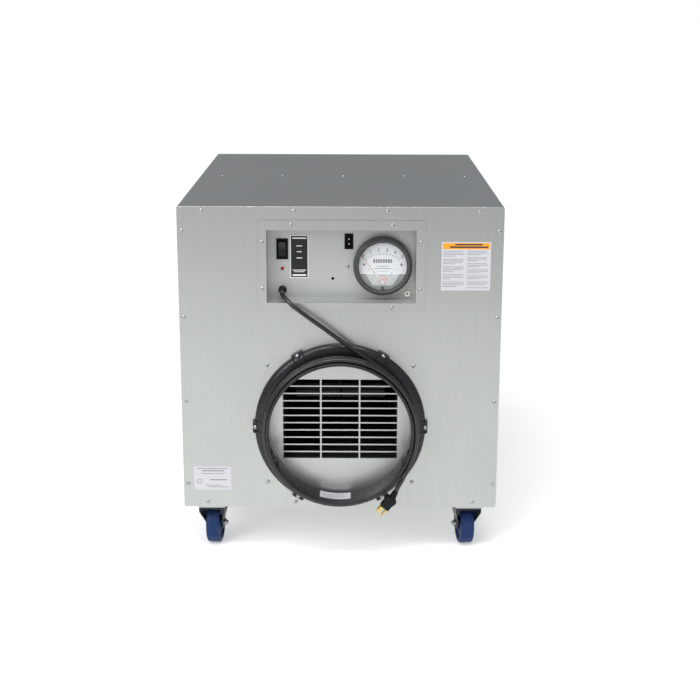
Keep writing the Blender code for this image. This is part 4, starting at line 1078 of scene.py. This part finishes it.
def filter_pad():
    """Fibre mat: crowned a little, with soft rounded edges and an uneven surface."""
    low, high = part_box("primary_filter")
    shape = bmesh.new()
    count = 56
    rows = []
    for face, sign in ((high.y, 1), (low.y, -1)):
        grid = []
        for row in range(count + 1):
            line = []
            for column in range(count + 1):
                u, v = 2 * column / count - 1, 2 * row / count - 1
                x = (low.x + high.x) / 2 + u * (high.x - low.x) / 2
                z = (low.z + high.z) / 2 + v * (high.z - low.z) / 2
                edge = max(abs(u), abs(v))
                fall = 0.006 * max(0, (edge - 0.94) / 0.06) ** 2
                lump = 0.0012 * noise.noise(Vector((x * 22, z * 22, sign * 3.1)))
                inset = (fall + 0.0016 + lump) if sign > 0 else fall * 0.5 + 0.0002
                line.append(shape.verts.new((x, face - sign * inset, z)))
            grid.append(line)
        rows.append(grid)
    for grid in rows:
        for row in range(count):
            for column in range(count):
                shape.faces.new((grid[row][column], grid[row][column + 1], grid[row + 1][column + 1],
                                 grid[row + 1][column]))
    rear, inner = rows
    rim = [(0, c) for c in range(count)] + [(r, count) for r in range(count)]
    rim += [(count, c) for c in range(count, 0, -1)] + [(r, 0) for r in range(count, 0, -1)]
    for (r0, c0), (r1, c1) in zip(rim, [*rim[1:], rim[0]]):
        shape.faces.new((rear[r0][c0], rear[r1][c1], inner[r1][c1], inner[r0][c0]))
    pad = piece("filter_mat", shape, FIBRE, sharp=80)
    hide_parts("primary_filter")


def filters():
    for node, finish in (("hepa_frame", BOARD), ("hepa_gasket", RUBBER), ("hepa_media", PAPER),
                         ("prefilter_media", PAPER), ("prefilter_frame", CARD)):
        NODES[node].material_slots[0].material = finish
    for node in ("port_hose", "plenum_hose"):
        NODES[node].material_slots[0].material = ACRYLIC
    for level in ("upper", "lower"):
        for side in ("left", "right"):
            dress(f"filter_latch_{level}_{side}", ZINC, 0.0005)
    filter_pad()


# ---------------- studio

def area_light(name, place, target, size, power):
    light = bpy.data.lights.new(name, "AREA")
    light.shape = "RECTANGLE"
    light.size, light.size_y = size
    light.energy = power
    lamp = placed(name, light)
    lamp.location = place
    lamp.rotation_euler = (Vector(target) - Vector(place)).to_track_quat("-Z", "Y").to_euler()


FAR_FLOOR, NEAR_FLOOR = -5.5, -2.6  # the floor darkens between these places in front of the object
FLOOR_GLOW = 0.36
SKY_FRONT, SKY_BACK, SKY_BELOW = 0.62, 0.29, 0.64  # brightness of the surroundings


def studio():
    SCENE.view_settings.view_transform = "Standard"
    world = bpy.data.worlds.new("studio")
    SCENE.world = world
    world.use_nodes = True
    sky = Shading(world.node_tree)
    direction = sky.node("ShaderNodeTexCoord").outputs["Generated"]
    split = sky.node("ShaderNodeSeparateXYZ", Vector=direction).outputs
    level = sky.node("ShaderNodeMix", {"data_type": "FLOAT"})
    around = sky.ranged(split[1], SKY_FRONT, SKY_BACK, -0.3, 0.6)
    for number, value in ((0, sky.ranged(split[2], 1.0, 0.0, 0.02, 0.10)), (2, around), (3, SKY_BELOW)):
        sky.join(level.inputs[number], value)
    background = sky.tree.nodes["Background"].inputs
    sky.join(background["Strength"], level.outputs[0])
    sky.join(background["Color"], (0.98, 0.99, 1.0, 1))

    sun = bpy.data.lights.new("sun", "SUN")
    sun.energy = 1.0
    sun.angle = math.radians(40)
    lamp = placed("sun", sun)
    lamp.rotation_euler = Vector((0.35, 0.55, -1.0)).to_track_quat("-Z", "Y").to_euler()
    area_light("key", (-1.7, -2.6, 1.7), (0, -0.4, 0.4), (1.2, 1.2), 28)
    area_light("overhead", (0.1, -1.5, 2.6), (0, -0.5, 0.3), (1.8, 0.8), 27)

    mesh = bpy.data.meshes.new("floor")
    shape = bmesh.new()
    bmesh.ops.create_grid(shape, x_segments=1, y_segments=1, size=300)
    shape.to_mesh(mesh)
    shape.free()
    floor = placed("floor", mesh)
    ground = Finish("floor", (0.92, 0.92, 0.92), 0.7)
    away = ground.node("ShaderNodeSeparateXYZ", Vector=ground.place).outputs[1]
    near = ground.ranged(away, 0, 1, FAR_FLOOR, NEAR_FLOOR)
    ground.tint(near, (0.46, 0.47, 0.47), ground.color)
    ground.feed("Emission Color", (1, 1, 1, 1))
    ground.feed("Emission Strength", ground.total(near, FLOOR_GLOW, "MULTIPLY"))
    mesh.materials.append(ground.material)


# ---------------- making

camera()
cord([*plug(), strain_relief()])
cabinet()
trim_mitres()
speed_label()
switches()
gauge()
stickers()
collar()
collar_label()
casters()
filters()
SCREW_HEAD = screw_head()
all_screws()
studio()
